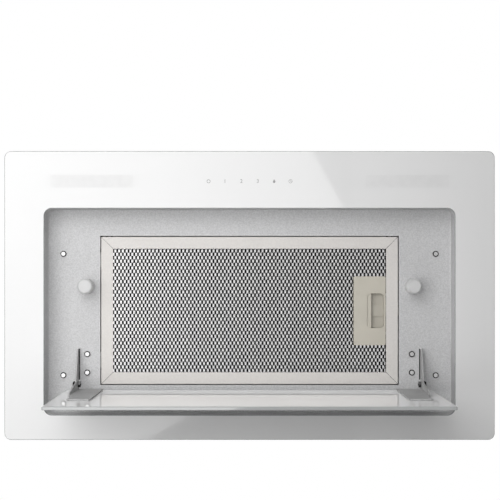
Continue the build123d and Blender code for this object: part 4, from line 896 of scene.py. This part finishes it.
class HOOD_OT_finish_plastics(bpy.types.Operator):
    """Finishes the housings, posts, collar, flaps, impeller and seals"""

    bl_idname = "hood.finish_plastics"
    bl_label = "Finish the Plastics"

    def execute(self, context):
        post_colour = context.scene.hood_finish.post_colour
        coat(moulded_plastic("post_plastic_satin", post_colour, roughness=0.35), "post_plastic")
        for name, colour, roughness, slot in (
                ("lamp_housing_white", (0.80, 0.80, 0.80), 0.45, "lamp_housing"),
                ("black_moulding", (0.045, 0.045, 0.047), 0.5, "black_plastic"),
                ("collar_moulding", (0.06, 0.06, 0.062), 0.48, "collar_plastic"),
                ("flap_moulding", (0.33, 0.33, 0.34), 0.45, "flap_plastic"),
                ("impeller_moulding", (0.10, 0.10, 0.11), 0.42, "impeller_plastic"),
                ("box_moulding", (0.76, 0.76, 0.73), 0.45, "box_plastic")):
            coat(moulded_plastic(name, colour, roughness), slot)
        for name, colour, pore, slot in (
                ("key_foam", (0.15, 0.15, 0.15), 1.2 * MM, "pad_foam"),
                # The seal foam's near black is painted shade, standing in for the dark space above
                # the hinge slots.
                ("seal_foam", (0.02, 0.02, 0.02), 1.2 * MM, "black_foam"),
                ("bond_tape_foam", (0.72, 0.72, 0.72), 0.6 * MM, "bond_tape"),
                ("mount_rubber_black", (0.04, 0.04, 0.04), 0.8 * MM, "mount_rubber")):
            coat(soft_rubber(name, colour, pore), slot)
        return {"FINISHED"}


class HOOD_OT_finish_motor(bpy.types.Operator):
    """Finishes the motor and the electronics"""

    bl_idname = "hood.finish_motor"
    bl_label = "Finish the Motor and Electronics"

    def execute(self, context):
        coat(powder_coat("motor_enamel", (0.42, 0.43, 0.45), grain=1.0 * MM), "motor_case")
        coat(pressed_laminations("stator_stack", (0.34, 0.22, 0.14)), "stator_iron")
        coat(pressed_laminations("rotor_stack", (0.45, 0.45, 0.47)), "rotor_iron")
        coat(solder_mask("board_lacquer", (0.05, 0.22, 0.10)), "circuit_board")
        coat(rolled_metal("capacitor_shell", (0.80, 0.80, 0.82), roughness=0.3, along=(1, 8, 8)),
             "capacitor_can")
        return {"FINISHED"}


# --- Stage ----------------------------------------------------------------------------
def softbox(name, radiance, width, height, place, turn):
    """A rectangular lamp that the camera doesn't see. Its power follows from its brightness."""
    lamp = bpy.data.lights.new(name, "AREA")
    lamp.shape = "RECTANGLE"
    lamp.size = width
    lamp.size_y = height
    lamp.energy = radiance * pi * width * height
    holder = bpy.data.objects.new(name, lamp)
    holder.location = place
    holder.rotation_euler = turn
    holder.visible_camera = False
    bpy.context.scene.collection.objects.link(holder)


def seen_directly(nodes, links):
    """1 for what the camera sees, straight, mirrored or through glass, and 0 for plain light."""
    path = nodes.new("ShaderNodeLightPath")
    seen = path.outputs["Is Camera Ray"]
    for ray in ("Is Glossy Ray", "Is Transmission Ray"):
        either = nodes.new("ShaderNodeMath")
        either.operation = "MAXIMUM"
        links.new(seen, either.inputs[0])
        links.new(path.outputs[ray], either.inputs[1])
        seen = either.outputs["Value"]
    return seen


def studio_world(fill):
    """White to the camera and in reflections, and a soft grey fill for the light itself."""
    world = bpy.data.worlds.new("studio")
    bpy.context.scene.world = world
    world.use_nodes = True
    nodes, links = world.node_tree.nodes, world.node_tree.links
    room = nodes["Background"]
    room.inputs["Color"].default_value = (1, 1, 1, 1)
    room.inputs["Strength"].default_value = fill
    backdrop = nodes.new("ShaderNodeBackground")
    backdrop.inputs["Color"].default_value = (1, 1, 1, 1)
    backdrop.inputs["Strength"].default_value = 1.0
    mix = nodes.new("ShaderNodeMixShader")
    links.new(seen_directly(nodes, links), mix.inputs["Fac"])
    links.new(room.outputs["Background"], mix.inputs[1])
    links.new(backdrop.outputs["Background"], mix.inputs[2])
    links.new(mix.outputs["Shader"], nodes["World Output"].inputs["Surface"])


def pale_floor(glow):
    """Pale matt paint that shows nearly white to the camera and in reflections."""
    paint = Finish("floor_paint", (0.86, 0.86, 0.86), roughness=0.8)
    paint.shades(paint.noise(0.6, detail=2), dark=0.985, light=1.0)
    paper = paint.nodes.new("ShaderNodeEmission")
    paper.inputs["Strength"].default_value = glow
    mix = paint.nodes.new("ShaderNodeMixShader")
    paint.links.new(seen_directly(paint.nodes, paint.links), mix.inputs["Fac"])
    paint.links.new(paper.outputs["Emission"], mix.inputs[2])
    both = paint.nodes.new("ShaderNodeAddShader")
    paint.links.new(paint.shader.outputs["BSDF"], both.inputs[0])
    paint.links.new(mix.outputs["Shader"], both.inputs[1])
    paint.links.new(both.outputs["Shader"], paint.nodes["Material Output"].inputs["Surface"])
    return paint.material


class HOOD_OT_set_stage(bpy.types.Operator):
    """Sets the floor, the softboxes, the pale room and the camera that looks up at the hood"""

    bl_idname = "hood.set_stage"
    bl_label = "Set the Stage"

    def execute(self, context):
        settings = context.scene.hood_stage
        floor_size = 30
        start_fresh()
        bpy.ops.mesh.primitive_plane_add(size=floor_size, location=(0, 0, -settings.floor_drop))
        floor = bpy.context.object
        floor.name = "studio_floor"
        floor.data.materials.append(pale_floor(settings.floor_glow))
        studio_world(settings.fill_strength)
        # The key's straight edge shows in the glass as a soft diagonal from front to back.
        near, far = Vector((-0.005, -0.275, -0.9)), Vector((-0.298, 0.261, -0.9))
        edge = (far - near).normalized()
        outward = Vector((-edge.y, edge.x, 0))
        width, length = 1.1, 1.5
        # The softbox stands further forward than the middle of that edge.
        forward = 0.135
        centre = (near + far) / 2 + outward * width / 2 - edge * forward
        softbox("key_softbox", settings.key_radiance, width, length, centre,
                (pi, 0, -atan2(outward.y, outward.x) + pi))
        for name, radiance, size, place in (
                ("front_softbox", settings.front_radiance, (1.2, 1.2), Vector((0, -1.3, -1.9))),
                ("side_softbox", settings.side_radiance, (0.6, 0.4), Vector((0.39, 0.0, -0.95)))):
            softbox(name, radiance, *size, place, (-place).to_track_quat("-Z", "Y").to_euler())
        softbox("top_softbox", settings.top_radiance, width=1.6, height=1.4,
                place=(-0.7, -0.2, 2.1), turn=(radians(5), radians(-18), 0))
        # The camera looks straight up, and its shifted lens frames the hood.
        camera_y = -0.0527
        camera = bpy.data.objects.new("camera", bpy.data.cameras.new("camera"))
        camera.data.sensor_width = 36
        camera.data.lens = settings.camera_lens
        camera.data.shift_x = 0.0009
        camera.data.shift_y = 0.0443
        camera.data.clip_start = 0.05
        camera.data.clip_end = 60
        camera.location = (0, camera_y, -settings.camera_drop)
        camera.rotation_euler = (pi, 0, 0)
        context.scene.collection.objects.link(camera)
        context.scene.camera = camera
        context.scene.view_settings.view_transform = "Standard"
        return {"FINISHED"}


# --- Panel and registration -----------------------------------------------------------
STEPS = (
    HOOD_OT_finish_glass,
    HOOD_OT_finish_sheet_metal,
    HOOD_OT_finish_fasteners,
    HOOD_OT_finish_filter,
    HOOD_OT_finish_plastics,
    HOOD_OT_finish_motor,
    HOOD_OT_expand_mesh,
    HOOD_OT_fill_pack,
    HOOD_OT_wind_spring,
    HOOD_OT_print_keys,
    HOOD_OT_fit_light_windows,
    HOOD_OT_set_stage,
)

SETTINGS = {
    "hood_finish": HoodFinishSettings,
    "hood_filter": HoodFilterSettings,
    "hood_print": HoodPrintSettings,
    "hood_stage": HoodStageSettings,
}


class HOOD_PT_looks(bpy.types.Panel):
    """Lists the settings and the steps that dress the hood"""

    bl_idname = "HOOD_PT_looks"
    bl_label = "Range Hood"
    bl_space_type = "VIEW_3D"
    bl_region_type = "UI"
    bl_category = "Range Hood"

    def draw(self, context):
        for name, group in SETTINGS.items():
            box = self.layout.box()
            for prop in group.__annotations__:
                box.prop(getattr(context.scene, name), prop)
        for step in STEPS:
            self.layout.operator(step.bl_idname)


def register():
    for group in SETTINGS.values():
        bpy.utils.register_class(group)
    for step in (*STEPS, HOOD_PT_looks):
        bpy.utils.register_class(step)
    for name, group in SETTINGS.items():
        setattr(bpy.types.Scene, name, bpy.props.PointerProperty(type=group))


def unregister():
    for name in SETTINGS:
        delattr(bpy.types.Scene, name)
    for step in reversed((*STEPS, HOOD_PT_looks)):
        bpy.utils.unregister_class(step)
    for group in SETTINGS.values():
        bpy.utils.unregister_class(group)


def main():
    register()
    for step in STEPS:
        group, name = step.bl_idname.split(".")
        getattr(getattr(bpy.ops, group), name)()


if __name__ == "__main__":
    main()
